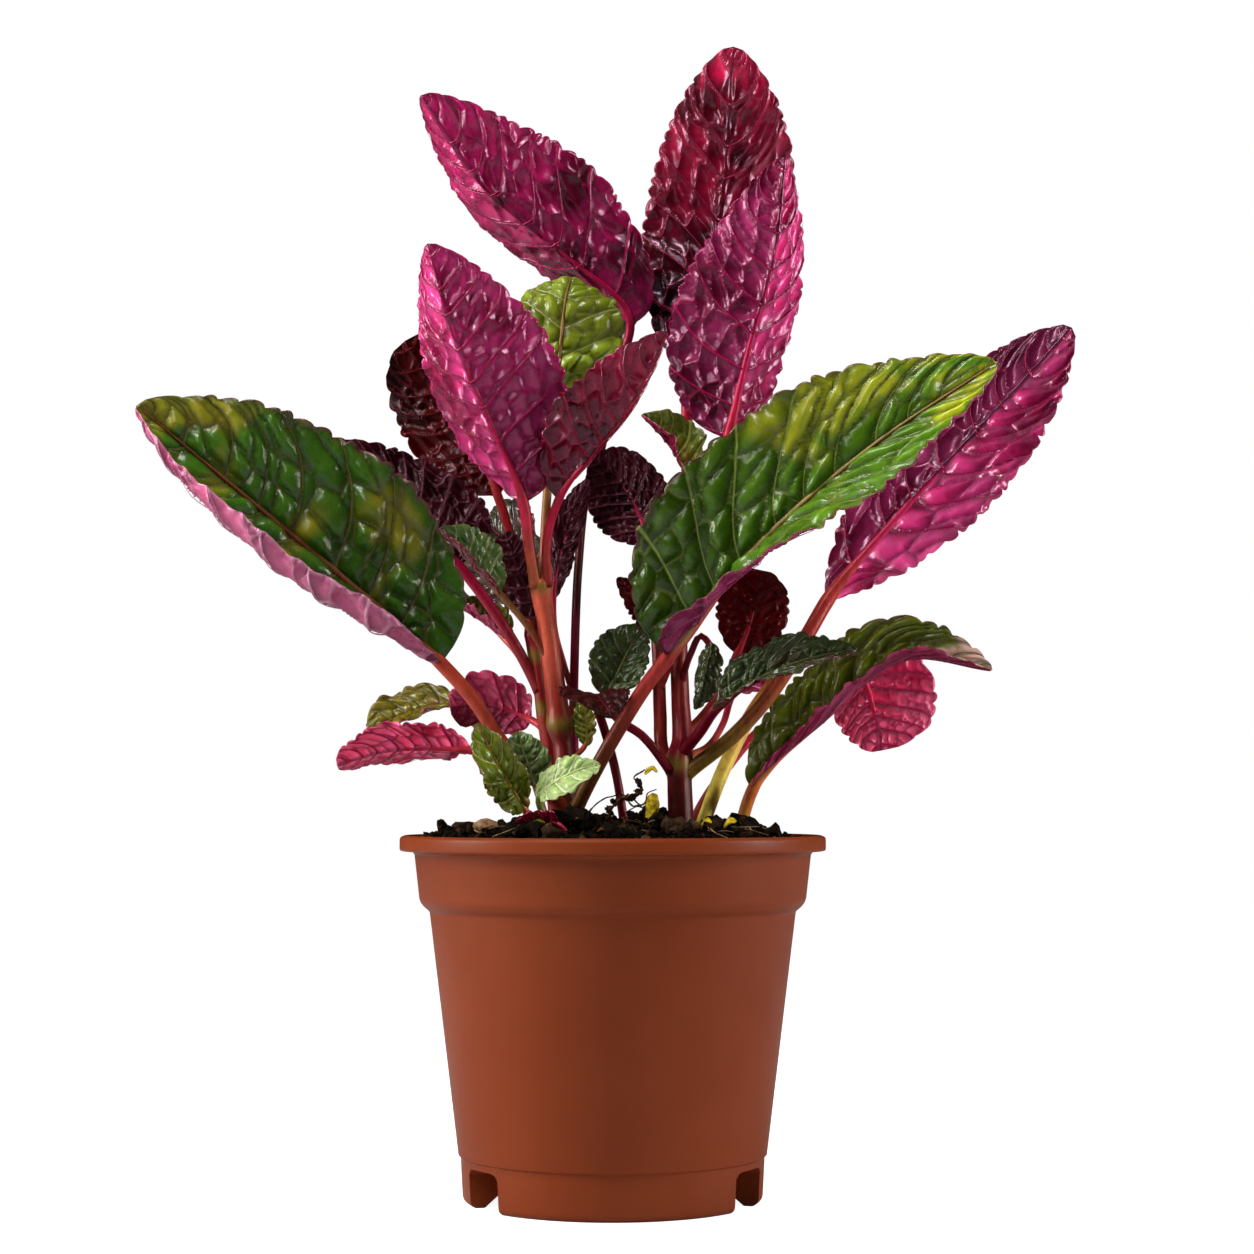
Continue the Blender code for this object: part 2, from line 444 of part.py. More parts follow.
def leaf_mesh(leaf):
    """Loft of the leaf's sections, with each quad of the blade split alike on its two faces."""
    rings, tip = leaf_rings(leaf)
    ring = len(rings[0])
    across = ring // 2
    points = np.concatenate(rings + [tip]) * MM
    faces = [tuple(range(ring))[::-1]]
    for row in range(len(rings) - 1):
        here, there = row * ring, (row + 1) * ring
        for column in range(across - 1):
            below = ring - 1 - column
            near = (here + column, here + column + 1, there + column + 1, there + column)
            under = (here + below, here + below - 1, there + below - 1, there + below)
            faces += [near[:3], (near[0], near[2], near[3])]
            faces += [(under[0], under[2], under[1]), (under[0], under[3], under[2])]
        faces.append((here + ring - 1, here, there, there + ring - 1))
        faces.append((here + across - 1, here + across, there + across, there + across - 1))
    last = (len(rings) - 1) * ring
    over, beneath = len(points) - 2, len(points) - 1
    for column in range(across - 1):
        below = ring - 1 - column
        faces.append((last + column, last + column + 1, over))
        faces.append((last + below - 1, last + below, beneath))
    faces.append((last + ring - 1, last, over, beneath))
    faces.append((last + across - 1, last + across, beneath, over))
    mesh = bpy.data.meshes.new(leaf.name)
    mesh.from_pydata([tuple(p) for p in points], [], faces)
    bm = bmesh.new()
    bm.from_mesh(mesh)
    bmesh.ops.recalc_face_normals(bm, faces=bm.faces)
    bm.to_mesh(mesh)
    bm.free()
    mesh.shade_smooth()
    mesh.set_sharp_from_angle(angle=math.radians(50))
    return mesh


def make_stems(parts, cutters):
    """The stems, and for each a copy that is fatter by the clearance, to cut what meets it."""
    fat = {}
    for name, (points, radii) in STEMS.items():
        tube(name, points, radii, parts, "stem")
        wider = tuple(radius + GAP for radius in radii)
        fat[name] = as_cutter(tube(name + "_room", points, wider, cutters, longer=GAP))
    cut(parts.objects[BRANCH], fat[BRANCH_PARENT])
    return fat


def make_leaves(parts, cutters, fat):
    """Every leaf, with its stalk's foot cut to the stem that it grows from."""
    feet = []
    for leaf in LEAVES:
        made = new_object(leaf.name, leaf_mesh(leaf), parts, leaf.tone)
        if leaf.foot == "soil":
            path = leaf.stalk + leaf.blade
            radii = (leaf.radius + STALK_GAP,) * len(path)
            feet.append(as_cutter(tube(leaf.name + "_room", path, radii, cutters, longer=GAP,
                                       last=len(leaf.stalk), count=leaf.size.stalk_rings)))
        elif leaf.foot:
            cut(made, fat[leaf.foot])
    return feet


def turned(name, profile, sides, collection, material=None):
    """Solid of revolution about the Z axis from a profile of (radius, z) pairs down its outer side."""
    mesh = bpy.data.meshes.new(name)
    edges = [(k, k + 1) for k in range(len(profile) - 1)]
    mesh.from_pydata([(r * MM, 0, z * MM) for r, z in profile], edges, [])
    made = new_object(name, mesh, collection, material)
    screw = made.modifiers.new("turn", "SCREW")
    screw.steps = sides
    screw.render_steps = sides
    screw.use_merge_vertices = True
    screw.merge_threshold = 0.00005
    bpy.context.view_layer.update()
    solid = bpy.data.meshes.new_from_object(made.evaluated_get(bpy.context.evaluated_depsgraph_get()))
    made.modifiers.clear()
    made.data = solid
    solid.shade_smooth()
    solid.set_sharp_from_angle(angle=math.radians(35))
    return made


def block(name, x_range, y_range, z_range, turn, collection, round_edges=0.0):
    """Box between the given limits in mm, turned about the Z axis, with its upper radial edges rounded."""
    bm = bmesh.new()
    bmesh.ops.create_cube(bm, size=1.0)
    for vert in bm.verts:
        for k, (low, high) in enumerate((x_range, y_range, z_range)):
            vert.co[k] = (low if vert.co[k] < 0 else high) * MM
    if round_edges:
        tops = [e for e in bm.edges if all(v.co.z > 0.9 * z_range[1] * MM for v in e.verts)
                and abs(e.verts[0].co.x - e.verts[1].co.x) > MM]
        bmesh.ops.bevel(bm, geom=tops, offset=round_edges * MM, segments=3, affect="EDGES", profile=0.5)
    mesh = bpy.data.meshes.new(name)
    bm.to_mesh(mesh)
    bm.free()
    made = new_object(name, mesh, collection)
    made.rotation_euler.z = math.radians(turn)
    return as_cutter(made)


def make_pot(parts, cutters):
    """Moulded pot: a thin turned wall, walled drain pockets in the foot, and holes in the base."""
    collar_in = COLLAR_FOOT_RADIUS - WALL
    profile = (
        (0, FLOOR_Z), (FOOT_RADIUS - WALL - 1, FLOOR_Z), (FOOT_RADIUS - WALL, FLOOR_Z + 1.2),
        (BODY_FOOT_RADIUS - WALL, LEDGE_Z + 1), (BODY_RADIUS - WALL, BODY_TOP_Z + 0.6),
        (collar_in, COLLAR_FOOT_Z + 0.6), (COLLAR_RADIUS - WALL, POT_HEIGHT - 3.5),
        (RIM_RADIUS - 2.4, POT_HEIGHT - 0.6), (RIM_RADIUS - 1.5, POT_HEIGHT),
        (RIM_RADIUS - 0.5, POT_HEIGHT - 0.4), (RIM_RADIUS, POT_HEIGHT - 1.4), (RIM_RADIUS, POT_HEIGHT - 3.2),
        (RIM_RADIUS - 0.7, POT_HEIGHT - 4.4), (COLLAR_RADIUS, POT_HEIGHT - 4.7), (COLLAR_FOOT_RADIUS, COLLAR_FOOT_Z),
        (COLLAR_FOOT_RADIUS - 0.9, BODY_TOP_Z + 0.7), (BODY_RADIUS, BODY_TOP_Z),
        (BODY_FOOT_RADIUS, LEDGE_Z), (FOOT_RADIUS, LEDGE_Z - 0.5), (FOOT_RADIUS - 0.5, 3.7),
        (FOOT_BASE_RADIUS, 0), (RECESS_RADIUS, 0), (RECESS_RADIUS - 0.6, RECESS_Z), (0, RECESS_Z))
    pot = turned("pot", profile, POT_SIDES, parts, "pot")
    side = POCKET_WIDTH / 2
    rooms = []
    for number, angle in enumerate(POCKET_ANGLES):
        housing = block(f"pocket_wall_{number}", (POCKET_DEPTH_RADIUS - WALL, HOUSING_REACH),
                        (-side - WALL, side + WALL), (HOUSING_FOOT_Z, POCKET_TOP_Z + WALL), angle, cutters,
                        HOUSING_ROUNDING)
        joining = pot.modifiers.new("join_" + housing.name, "BOOLEAN")
        joining.operation = "UNION"
        joining.object = housing
        rooms.append(block(f"pocket_room_{number}", (POCKET_DEPTH_RADIUS - WALL - GAP, RIM_RADIUS),
                           (-side - WALL - GAP, side + WALL + GAP),
                           (BELOW, POCKET_TOP_Z + WALL + GAP), angle, cutters))
    for number, angle in enumerate(POCKET_ANGLES):
        cut(pot, block(f"pocket_{number}", (POCKET_DEPTH_RADIUS, RIM_RADIUS), (-side, side),
                       (BELOW, POCKET_TOP_Z), angle, cutters, POCKET_ROUNDING))
    for number in range(DRAIN_HOLES):
        angle = math.radians(45 + 360 * number / DRAIN_HOLES)
        bpy.ops.mesh.primitive_cylinder_add(
            vertices=DRAIN_SIDES, radius=DRAIN_RADIUS * MM, depth=DRAIN_LENGTH * MM,
            location=(DRAIN_CIRCLE * MM * math.cos(angle), DRAIN_CIRCLE * MM * math.sin(angle), FLOOR_Z * MM))
        hole = bpy.context.object
        hole.name = f"drain_hole_{number}"
        for owner in list(hole.users_collection):
            owner.objects.unlink(hole)
        cutters.objects.link(hole)
        cut(pot, as_cutter(hole))
    return rooms


def soil_height(x, y):
    """Height of the heaped soil in mm: a low dome with lumps a few millimetres across, below the rim at the
    wall."""
    share = np.clip(np.hypot(x, y) / (COLLAR_RADIUS - 2), 0, 1)
    lumps = np.sin(x * 0.61 + 1.3) * np.sin(y * 0.53 - 0.4) + 0.6 * np.sin(x * 0.29 - y * 0.37 + 2.1)
    return SOIL_EDGE_Z + SOIL_CROWN * (1 - share**2) + 0.9 * lumps * (1 - share**4)


def make_soil(parts, cutters, fat, feet, rooms):
    """Soil that fills the pot, with a plain hole for each stem and stalk, and a lump of stone lying in it."""
    profile = [(share * (COLLAR_RADIUS - WALL - GAP - 0.4), SOIL_EDGE_Z)
               for share in np.linspace(0, 1, SOIL_RINGS)]
    profile += [(COLLAR_FOOT_RADIUS - WALL - GAP, COLLAR_FOOT_Z + 0.6),
                (BODY_RADIUS - WALL - GAP, BODY_TOP_Z + 1.0),
                (BODY_FOOT_RADIUS - WALL - GAP, LEDGE_Z + 1),
                (FOOT_RADIUS - WALL - 2 * GAP, FLOOR_Z + 1.6),
                (FOOT_RADIUS - WALL - 1.6, FLOOR_Z + GAP), (0, FLOOR_Z + GAP)]
    soil = turned("soil", profile, SOIL_SIDES, parts, "soil")
    for vert in soil.data.vertices:
        if vert.co.z > (SOIL_EDGE_Z - 0.01) * MM:
            vert.co.z = float(soil_height(vert.co.x / MM, vert.co.y / MM)) * MM
    centre = np.array([*STONE_PLACE, float(soil_height(*STONE_PLACE)) + STONE_LIFT]) * MM
    for name, grow, owner in (("stone", 0.0, parts), ("stone_room", STONE_GAP, cutters)):
        bm = bmesh.new()
        bmesh.ops.create_icosphere(bm, subdivisions=2, radius=1.0)
        for vert in bm.verts:
            knob = 1 + STONE_KNOB * math.sin(5 * vert.co.x + 2) * math.sin(4 * vert.co.y + 1)
            for k, radius in enumerate(STONE_RADII):
                vert.co[k] *= knob * (radius + grow) * MM
        stone_mesh = bpy.data.meshes.new(name)
        bm.to_mesh(stone_mesh)
        bm.free()
        made = new_object(name, stone_mesh, owner, "stone" if owner is parts else None)
        made.location = centre
    rooms = rooms + [as_cutter(cutters.objects["stone_room"])]
    for room in list(fat.values()) + feet + rooms:
        if room is not fat[BRANCH]:
            cut(soil, room)


def main():
    clear_scene()
    parts = new_collection("potted_waffle_plant")
    cutters = new_collection("cutters")
    fat = make_stems(parts, cutters)
    feet = make_leaves(parts, cutters, fat)
    rooms = make_pot(parts, cutters)
    make_soil(parts, cutters, fat, feet, rooms)


main()
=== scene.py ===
import math
from collections import namedtuple

import bmesh
import bpy
import numpy as np
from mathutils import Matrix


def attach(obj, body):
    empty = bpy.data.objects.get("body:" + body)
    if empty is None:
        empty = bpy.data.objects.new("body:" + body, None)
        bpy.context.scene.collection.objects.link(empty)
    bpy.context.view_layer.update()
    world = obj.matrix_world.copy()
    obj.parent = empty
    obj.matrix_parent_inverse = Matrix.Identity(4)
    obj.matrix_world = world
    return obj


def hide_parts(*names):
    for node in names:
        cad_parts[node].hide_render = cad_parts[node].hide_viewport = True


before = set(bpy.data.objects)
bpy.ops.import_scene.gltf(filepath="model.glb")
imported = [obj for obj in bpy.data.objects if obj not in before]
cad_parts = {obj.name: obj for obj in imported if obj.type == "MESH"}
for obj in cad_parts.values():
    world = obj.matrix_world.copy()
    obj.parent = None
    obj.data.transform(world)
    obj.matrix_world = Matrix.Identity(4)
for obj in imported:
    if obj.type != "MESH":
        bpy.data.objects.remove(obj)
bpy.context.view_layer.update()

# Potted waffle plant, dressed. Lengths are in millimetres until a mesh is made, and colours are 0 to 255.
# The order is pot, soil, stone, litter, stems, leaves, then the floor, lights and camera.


# Pot
# The nursery pot is injection-moulded polypropylene, 120 mm across its rolled rim and 1.4 mm thick.
# It tapers from a collar down to a foot ring with three drain pockets, and its raised base has four holes.

MM = 0.001
# The wall's outside from the rim down, and its thickness
RIM_RADIUS = 59.98
POT_HEIGHT = 102.0
COLLAR_RADIUS = 55.9
COLLAR_FOOT_RADIUS = 54.3
COLLAR_FOOT_Z = 83.5
BODY_RADIUS = 51.5
BODY_TOP_Z = 80.7
BODY_FOOT_RADIUS = 43.2
LEDGE_Z = 13.2
FOOT_RADIUS = 42.5
FOOT_BASE_RADIUS = 41.0
WALL = 1.4
# The recess under the base, the base inside, and the pockets in the foot
RECESS_Z = 3.0
RECESS_RADIUS = 37.5
FLOOR_Z = 5.0
POT_SIDES = 120
POT_CREASE = 32              # degrees, above which an edge of the pot looks sharp
POCKET_ANGLES = (212.5, 333.0, 92.5)
POCKET_WIDTH = 15.5
POCKET_TOP_Z = 11.0
POCKET_DEPTH_RADIUS = 33.5
POCKET_CORNER = 2.3
DRAIN_HOLES = 4
DRAIN_RADIUS = 3.0
DRAIN_CIRCLE = 20.0
FIRST_DRAIN = 45             # degrees
DRILL_SIDES = 24
DRILL_SPARE = 2.0            # how far the drill stands out above and below the base
HAIR = 0.05                  # half the width of the quads that make a sharp pocket edge
WELD = 0.004                 # points of the pot closer than this are one

POT_BROWN = (128, 52, 16)
POT_BROWN_WORN = (136, 58, 23)


def dye(red, green, blue):
    """Linear colour with alpha 1 from screen values of 0 to 255, by the sRGB power law."""
    shares = (c / 255 for c in (red, green, blue))
    return (*(((c + 0.055) / 1.055)**2.4 if c > 10 / 255 else c / 12.92 for c in shares), 1.0)


def unit(vectors):
    """The vectors at length 1."""
    return vectors / np.maximum(np.linalg.norm(vectors, axis=-1, keepdims=True), 1e-9)


def smooth_step(low, high, value):
    """Rises from 0 at low to 1 at high along a cubic with level ends."""
    share = np.clip((value - low) / (high - low), 0, 1)
    return share * share * (3 - 2 * share)


def feed(node, values):
    """Each input of the node, by name or number, takes its value or a link from another node's socket."""
    for key, value in values.items():
        if isinstance(value, bpy.types.NodeSocket):
            node.id_data.links.new(value, node.inputs[key])
        else:
            node.inputs[key].default_value = value


def add(tree, kind, values, out=0, **settings):
    """Output of a new node of that kind, by name or number, once its settings and inputs are set."""
    made = tree.nodes.new("ShaderNode" + kind)
    for key, value in settings.items():
        setattr(made, key, value)
    feed(made, values)
    return made.outputs[out]


def noise(tree, place, scale, detail):
    """Noise between 0 and 1, its features about 1 / scale metres across."""
    return add(tree, "TexNoise", {"Vector": place, "Scale": scale, "Detail": detail}, "Fac")


def spread(tree, value, low, high, start=0.0, stop=1.0, **settings):
    """The value's way from start to stop as one from low to high, held at both ends."""
    ends = {"Value": value, "From Min": start, "From Max": stop, "To Min": low, "To Max": high}
    return add(tree, "MapRange", ends, **settings)


def math_node(tree, operation, *values):
    """One step of arithmetic on values or sockets."""
    return add(tree, "Math", dict(enumerate(values)), operation=operation)


def bump(tree, height, strength, distance):
    """Normal tilted by a height that stands for that many metres."""
    return add(tree, "Bump", {"Height": height, "Strength": strength, "Distance": distance})


def mix(tree, share, first, second):
    """Colour from the first to the second by a share."""
    return add(tree, "Mix", {"Factor": share, 6: first, 7: second}, 2, data_type="RGBA")


def coat(shader, colour, roughness, sheen, normal, tint=(1, 1, 1)):
    """Sets the shader's colour and roughness, how much it mirrors and in which tint, and its normal."""
    feed(shader, {"Base Color": colour, "Roughness": roughness, "Specular IOR Level": sheen,
                  "Specular Tint": (*tint, 1), "Normal": normal})


def new_material(name):
    """Node material, its tree, its shader and the socket of Object coordinates."""
    material = bpy.data.materials.new(name)
    material.use_nodes = True
    tree = material.node_tree
    return material, tree, tree.nodes["Principled BSDF"], add(tree, "TexCoord", {}, "Object")


def new_piece(name, points, faces, materials, attributes=None, slots=None, sharp=None):
    """Object at the origin from points in mm and blocks of faces with equal corner counts. An attribute
    with four values for each point is a colour, one with three is a vector. Edges bent past the sharp
    angle look sharp."""
    mesh = bpy.data.meshes.new(name)
    corners = np.concatenate([block.ravel() for block in faces]).astype(np.int32)
    counts = np.concatenate([np.full(len(block), block.shape[1]) for block in faces])
    starts = np.concatenate([[0], np.cumsum(counts)[:-1]]).astype(np.int32)
    mesh.vertices.add(len(points))
    mesh.vertices.foreach_set("co", (points * MM).astype(np.float32).ravel())
    mesh.loops.add(len(corners))
    mesh.loops.foreach_set("vertex_index", corners)
    mesh.polygons.add(len(starts))
    mesh.polygons.foreach_set("loop_start", starts)
    if slots is not None:
        mesh.polygons.foreach_set("material_index", slots.astype(np.int32))
    for key, values in (attributes or {}).items():
        colour = values.shape[1] == 4
        layer = mesh.attributes.new(key, "FLOAT_COLOR" if colour else "FLOAT_VECTOR", "POINT")
        layer.data.foreach_set("color" if colour else "vector", values.astype(np.float32).ravel())
    mesh.update(calc_edges=True)
    mesh.validate()
    mesh.shade_smooth()
    if sharp:
        mesh.set_sharp_from_angle(angle=math.radians(sharp))
    for material in materials:
        mesh.materials.append(material)
    made = bpy.data.objects.new(name, mesh)
    bpy.context.scene.collection.objects.link(made)
    return made


def dress(piece, slot, *nodes):
    """The piece rides on the one body and stands for those CAD nodes, which are hidden. The slot is not
    used.
    """
    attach(piece, "root")
    if nodes:
        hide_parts(*nodes)


def ring_faces(rings, around):
    """Quads between rings of points that close on themselves, then triangles to a pole at each end. The
    first pole is the point after the last ring, and the second pole is the one after that."""
    ring, column = np.meshgrid(np.arange(rings - 1), np.arange(around), indexing="ij")
    after = (column + 1) % around
    quads = np.stack([ring * around + column, (ring + 1) * around + column,
                      (ring + 1) * around + after, ring * around + after], axis=-1).reshape(-1, 4)
    here = np.arange(around)
    there = (here + 1) % around
    last = (rings - 1) * around
    pole = np.full(around, rings * around)
    first_fan = np.stack([pole, here, there], axis=1)
    last_fan = np.stack([pole + 1, last + there, last + here], axis=1)
    return [quads, first_fan, last_fan]


def rounded(corners, steps=4):
    """Outline through corners of (radius, height, rounding): a rounded corner is a quadratic curve that
    leaves and meets its edges that far from the corner."""
    spots = np.array([corner[:2] for corner in corners], float)
    share = np.linspace(0, 1, steps + 1)[:, None]
    outline = []
    for k, (_, _, size) in enumerate(corners):
        if not size:
            outline.append(spots[k:k + 1])
            continue
        before = spots[k] + unit(spots[k - 1] - spots[k]) * size
        after = spots[k] + unit(spots[k + 1] - spots[k]) * size
        outline.append((1 - share)**2 * before + 2 * share * (1 - share) * spots[k] + share**2 * after)
    return np.concatenate(outline)


def pocket_edges(side, radius):
    """Angles just inside and just outside both edges of each pocket of that half width, on that radius."""
    half = math.asin(side / radius)
    hair = HAIR / radius
    return [math.radians(angle) + way * (half + step) for angle in POCKET_ANGLES for way in (-1, 1)
            for step in (-hair, hair)]


def draw_in(radius, z, angle, rows, side, depth, top, floor):
    """Moves the chosen rows of a turned surface in along the radius to a pocket's flat back wall, where
    they lie less than its half width beside its middle and below its arched top, and lifts them to the
    pocket's floor."""
    x, y, height = radius * np.cos(angle), radius * np.sin(angle), z + 0 * angle
    for pocket in np.radians(POCKET_ANGLES):
        turn = angle - pocket
        beside = FOOT_RADIUS * np.sin(turn) + 0 * radius
        ahead = radius * np.cos(turn)
        within = (np.cos(turn) > 0) & (np.abs(beside) < side) & rows
        corner = np.clip(np.abs(beside) - (side - POCKET_CORNER), 0, POCKET_CORNER)
        drop = POCKET_CORNER - np.sqrt(POCKET_CORNER**2 - corner**2)
        at_top = np.abs(z - top) < 2 * HAIR
        inside = within & (z < top)
        new_ahead = np.where(inside, np.minimum(ahead, depth), ahead)
        new_beside = np.where(inside, new_ahead * np.tan(turn), radius * np.sin(turn))
        x = np.where(inside, new_ahead * np.cos(pocket) - new_beside * np.sin(pocket), x)
        y = np.where(inside, new_ahead * np.sin(pocket) + new_beside * np.cos(pocket), y)
        height = np.where(inside, np.maximum(height, floor), height)
        height = np.where(within & at_top, height - drop, height)
    return x, y, height


def merge_close(piece, distance):
    """Welds points of the piece closer than that and drops the faces that this flattens."""
    bm = bmesh.new()
    bm.from_mesh(piece.data)
    bmesh.ops.remove_doubles(bm, verts=bm.verts, dist=distance * MM)
    bmesh.ops.dissolve_degenerate(bm, edges=bm.edges, dist=distance * MM)
    bm.to_mesh(piece.data)
    bm.free()


def pot_material():
    """Brown moulded plastic that drifts to paler worn patches, with fine grain in gloss and surface."""
    material, tree, shader, place = new_material("moulded_brown_plastic")
    wear = spread(tree, noise(tree, place, 22.0, 3.0), 0.0, 1.0, 0.38, 0.72)
    brown = mix(tree, wear, dye(*POT_BROWN), dye(*POT_BROWN_WORN))
    fine = noise(tree, place, 1500.0, 2.0)
    coat(shader, brown, spread(tree, fine, 0.36, 0.5), 0.17, bump(tree, fine, 0.12, 0.0003))
    return material


# Corners of the wall as radius, height and rounding: up the inside, then down the outside
inner_wall = [
    (0, FLOOR_Z, 0), (FOOT_RADIUS - WALL - 0.3, FLOOR_Z, 1.2),
    (FOOT_RADIUS - WALL, POCKET_TOP_Z + WALL - HAIR, 0),
    (FOOT_RADIUS - WALL, POCKET_TOP_Z + WALL + HAIR, 0),
    (BODY_FOOT_RADIUS - WALL, LEDGE_Z + 1, 0.4),
    (BODY_RADIUS - WALL, BODY_TOP_Z + 0.6, 0.8), (COLLAR_FOOT_RADIUS - WALL, COLLAR_FOOT_Z + 0.6, 0.8),
    (COLLAR_RADIUS - WALL, POT_HEIGHT - 3.5, 0.8), (RIM_RADIUS - 2.4, POT_HEIGHT - 0.5, 0.4)]
outer_wall = [
    (RIM_RADIUS - 1.6, POT_HEIGHT, 0.4), (RIM_RADIUS, POT_HEIGHT - 0.6, 0.8),
    (RIM_RADIUS, POT_HEIGHT - 4.4, 0.7),
    (COLLAR_RADIUS + 0.5, POT_HEIGHT - 4.7, 0.4), (COLLAR_RADIUS - 0.1, POT_HEIGHT - 5.4, 0.4),
    (COLLAR_FOOT_RADIUS, COLLAR_FOOT_Z, 1.1), (COLLAR_FOOT_RADIUS - 1.3, BODY_TOP_Z + 1.2, 0.5),
    (BODY_RADIUS, BODY_TOP_Z, 0.6), (BODY_FOOT_RADIUS, LEDGE_Z, 0.12), (FOOT_RADIUS, LEDGE_Z - 0.5, 0.15),
    (FOOT_RADIUS - 0.05, POCKET_TOP_Z + HAIR, 0), (FOOT_RADIUS - 0.05, POCKET_TOP_Z - HAIR, 0),
    (FOOT_RADIUS - 0.6, 1.0, 1.0), (FOOT_BASE_RADIUS - 0.6, 0, 0.5), (RECESS_RADIUS, 0, 0.5),
    (RECESS_RADIUS - 0.6, RECESS_Z, 0.3), (0, RECESS_Z, 0)]
profile = rounded(inner_wall + outer_wall)
inner_stations = sum(5 if corner[2] else 1 for corner in inner_wall)
outside = (np.arange(len(profile)) >= inner_stations)[1:-1, None]
even = np.radians(np.arange(0, 360, 360 / POT_SIDES))
edges = pocket_edges(POCKET_WIDTH / 2, FOOT_RADIUS) + pocket_edges(POCKET_WIDTH / 2 + WALL, FOOT_RADIUS)
edges = np.mod(edges, math.tau)
even = even[np.min(np.abs(even[:, None] - edges), axis=1) > 3 * HAIR / FOOT_RADIUS]
pot_angle = np.sort(np.concatenate([even, edges]))[None, :]
pot_radius, pot_z = profile[1:-1, 0:1], profile[1:-1, 1:2]
outer = draw_in(pot_radius, pot_z, pot_angle, outside, POCKET_WIDTH / 2, POCKET_DEPTH_RADIUS,
                POCKET_TOP_Z, RECESS_Z)
inner = draw_in(pot_radius, pot_z, pot_angle, ~outside, POCKET_WIDTH / 2 + WALL,
                POCKET_DEPTH_RADIUS - WALL, POCKET_TOP_Z + WALL, FLOOR_Z)
pot_points = np.where(outside[..., None], np.stack(outer, axis=-1), np.stack(inner, axis=-1))
pot_points = np.concatenate([pot_points.reshape(-1, 3), [(0, 0, FLOOR_Z), (0, 0, RECESS_Z)]])
pot = new_piece("pot_shell", pot_points, ring_faces(len(profile) - 2, pot_angle.size), [pot_material()])
merge_close(pot, WELD)
drill_ends = np.array([FLOOR_Z + DRILL_SPARE, RECESS_Z - DRILL_SPARE])
for number in range(DRAIN_HOLES):
    angle = math.radians(FIRST_DRAIN + 360 * number / DRAIN_HOLES)
    around = np.linspace(0, math.tau, DRILL_SIDES, endpoint=False)
    rod = np.stack([DRAIN_CIRCLE * math.cos(angle) + DRAIN_RADIUS * np.cos(around) * np.ones((2, 1)),
                    DRAIN_CIRCLE * math.sin(angle) + DRAIN_RADIUS * np.sin(around) * np.ones((2, 1)),
                    drill_ends[:, None] * np.ones(DRILL_SIDES)], axis=-1).reshape(-1, 3)
    middle = rod[:DRILL_SIDES, :2].mean(axis=0)
    rod = np.concatenate([rod, [(*middle, end) for end in drill_ends]])
    drill = new_piece("drill", rod, ring_faces(2, DRILL_SIDES), [])
    cutting = pot.modifiers.new("drain_hole", "BOOLEAN")
    cutting.object = drill
    cutting.operation = "DIFFERENCE"
    bpy.context.view_layer.update()
    drilled = bpy.data.meshes.new_from_object(pot.evaluated_get(bpy.context.evaluated_depsgraph_get()))
    pot.modifiers.clear()
    pot.data = drilled
    bpy.data.objects.remove(drill)
pot.data.shade_smooth()
pot.data.set_sharp_from_angle(angle=math.radians(POT_CREASE))
dress(pot, "pot_plastic", "pot")


# Soil
# Moist black-brown potting mix fills the pot and heaps a few millimetres above the rim in the middle.
# Its top is strewn with loose crumbs, and pale root fibres lie among them.

GAP = 0.3                    # between the soil and the wall
SOIL_EDGE_Z = 100.4
SOIL_CROWN = 4.6             # how much higher the middle is than the edge
SOIL_RINGS = 66
SOIL_SIDES = 150
SOIL_CREASE = 38             # degrees
SOIL_SINK = 0.8              # how far the ground under the crumbs lies below the soil's height
CRUMBS = 1250
CRUMB_REACH = 53.0           # from the axis to the farthest crumb's middle
CRUMB_EDGE = 54.0            # no crumb passes this radius
LOW_CRUMB = 0.7              # largest crumb in front of the stone
STONE_PLACE = (-35.0, -14.0)
FIBRES = 46
FIBRE_REACH = 38
FIBRE_STEPS = 12
SOIL_BLACK = (12, 7, 4)
SOIL_BROWN = (78, 54, 36)
FIBRE_TAN = (150, 120, 80)

luck = np.random.default_rng(11)
LATTICE = luck.uniform(-1, 1, 4096)


def grain(points, size, seed=0):
    """Smooth noise between -1 and 1: random numbers at the corners of cubes of that size, blended between
    corners by a cubic step along each axis."""
    scaled = np.asarray(points) / size
    cell = np.floor(scaled).astype(np.int64)
    part = scaled - cell
    part = part * part * (3 - 2 * part)
    total = 0
    for corner in np.ndindex(2, 2, 2):
        spot = cell + np.array(corner)
        key = spot[..., 0] * 73856093 ^ spot[..., 1] * 19349663 ^ spot[..., 2] * 83492791 ^ seed * 7919
        weight = np.prod(np.where(corner, part, 1 - part), axis=-1)
        total = total + LATTICE[key & 4095] * weight
    return total


def soil_height(x, y):
    """Low dome that meets the wall a little under the rim, with lumps that fade out at the wall."""
    share = np.clip(np.hypot(x, y) / (COLLAR_RADIUS - 2), 0, 1)
    lumps = np.sin(x * 0.61 + 1.3) * np.sin(y * 0.53 - 0.4) + 0.6 * np.sin(x * 0.29 - y * 0.37 + 2.1)
    return SOIL_EDGE_Z + SOIL_CROWN * (1 - share**2) + 0.9 * lumps * (1 - share**4)


def tinted(colour, shade):
    """The colour times a shade for each point, with alpha 1."""
    made = np.array(colour) * shade[:, None]
    made[:, 3] = 1
    return made


def blend_colours(first, second, share):
    """From the first colour to the second by a share for each point."""
    return np.array(first) * (1 - share[..., None]) + np.array(second) * share[..., None]


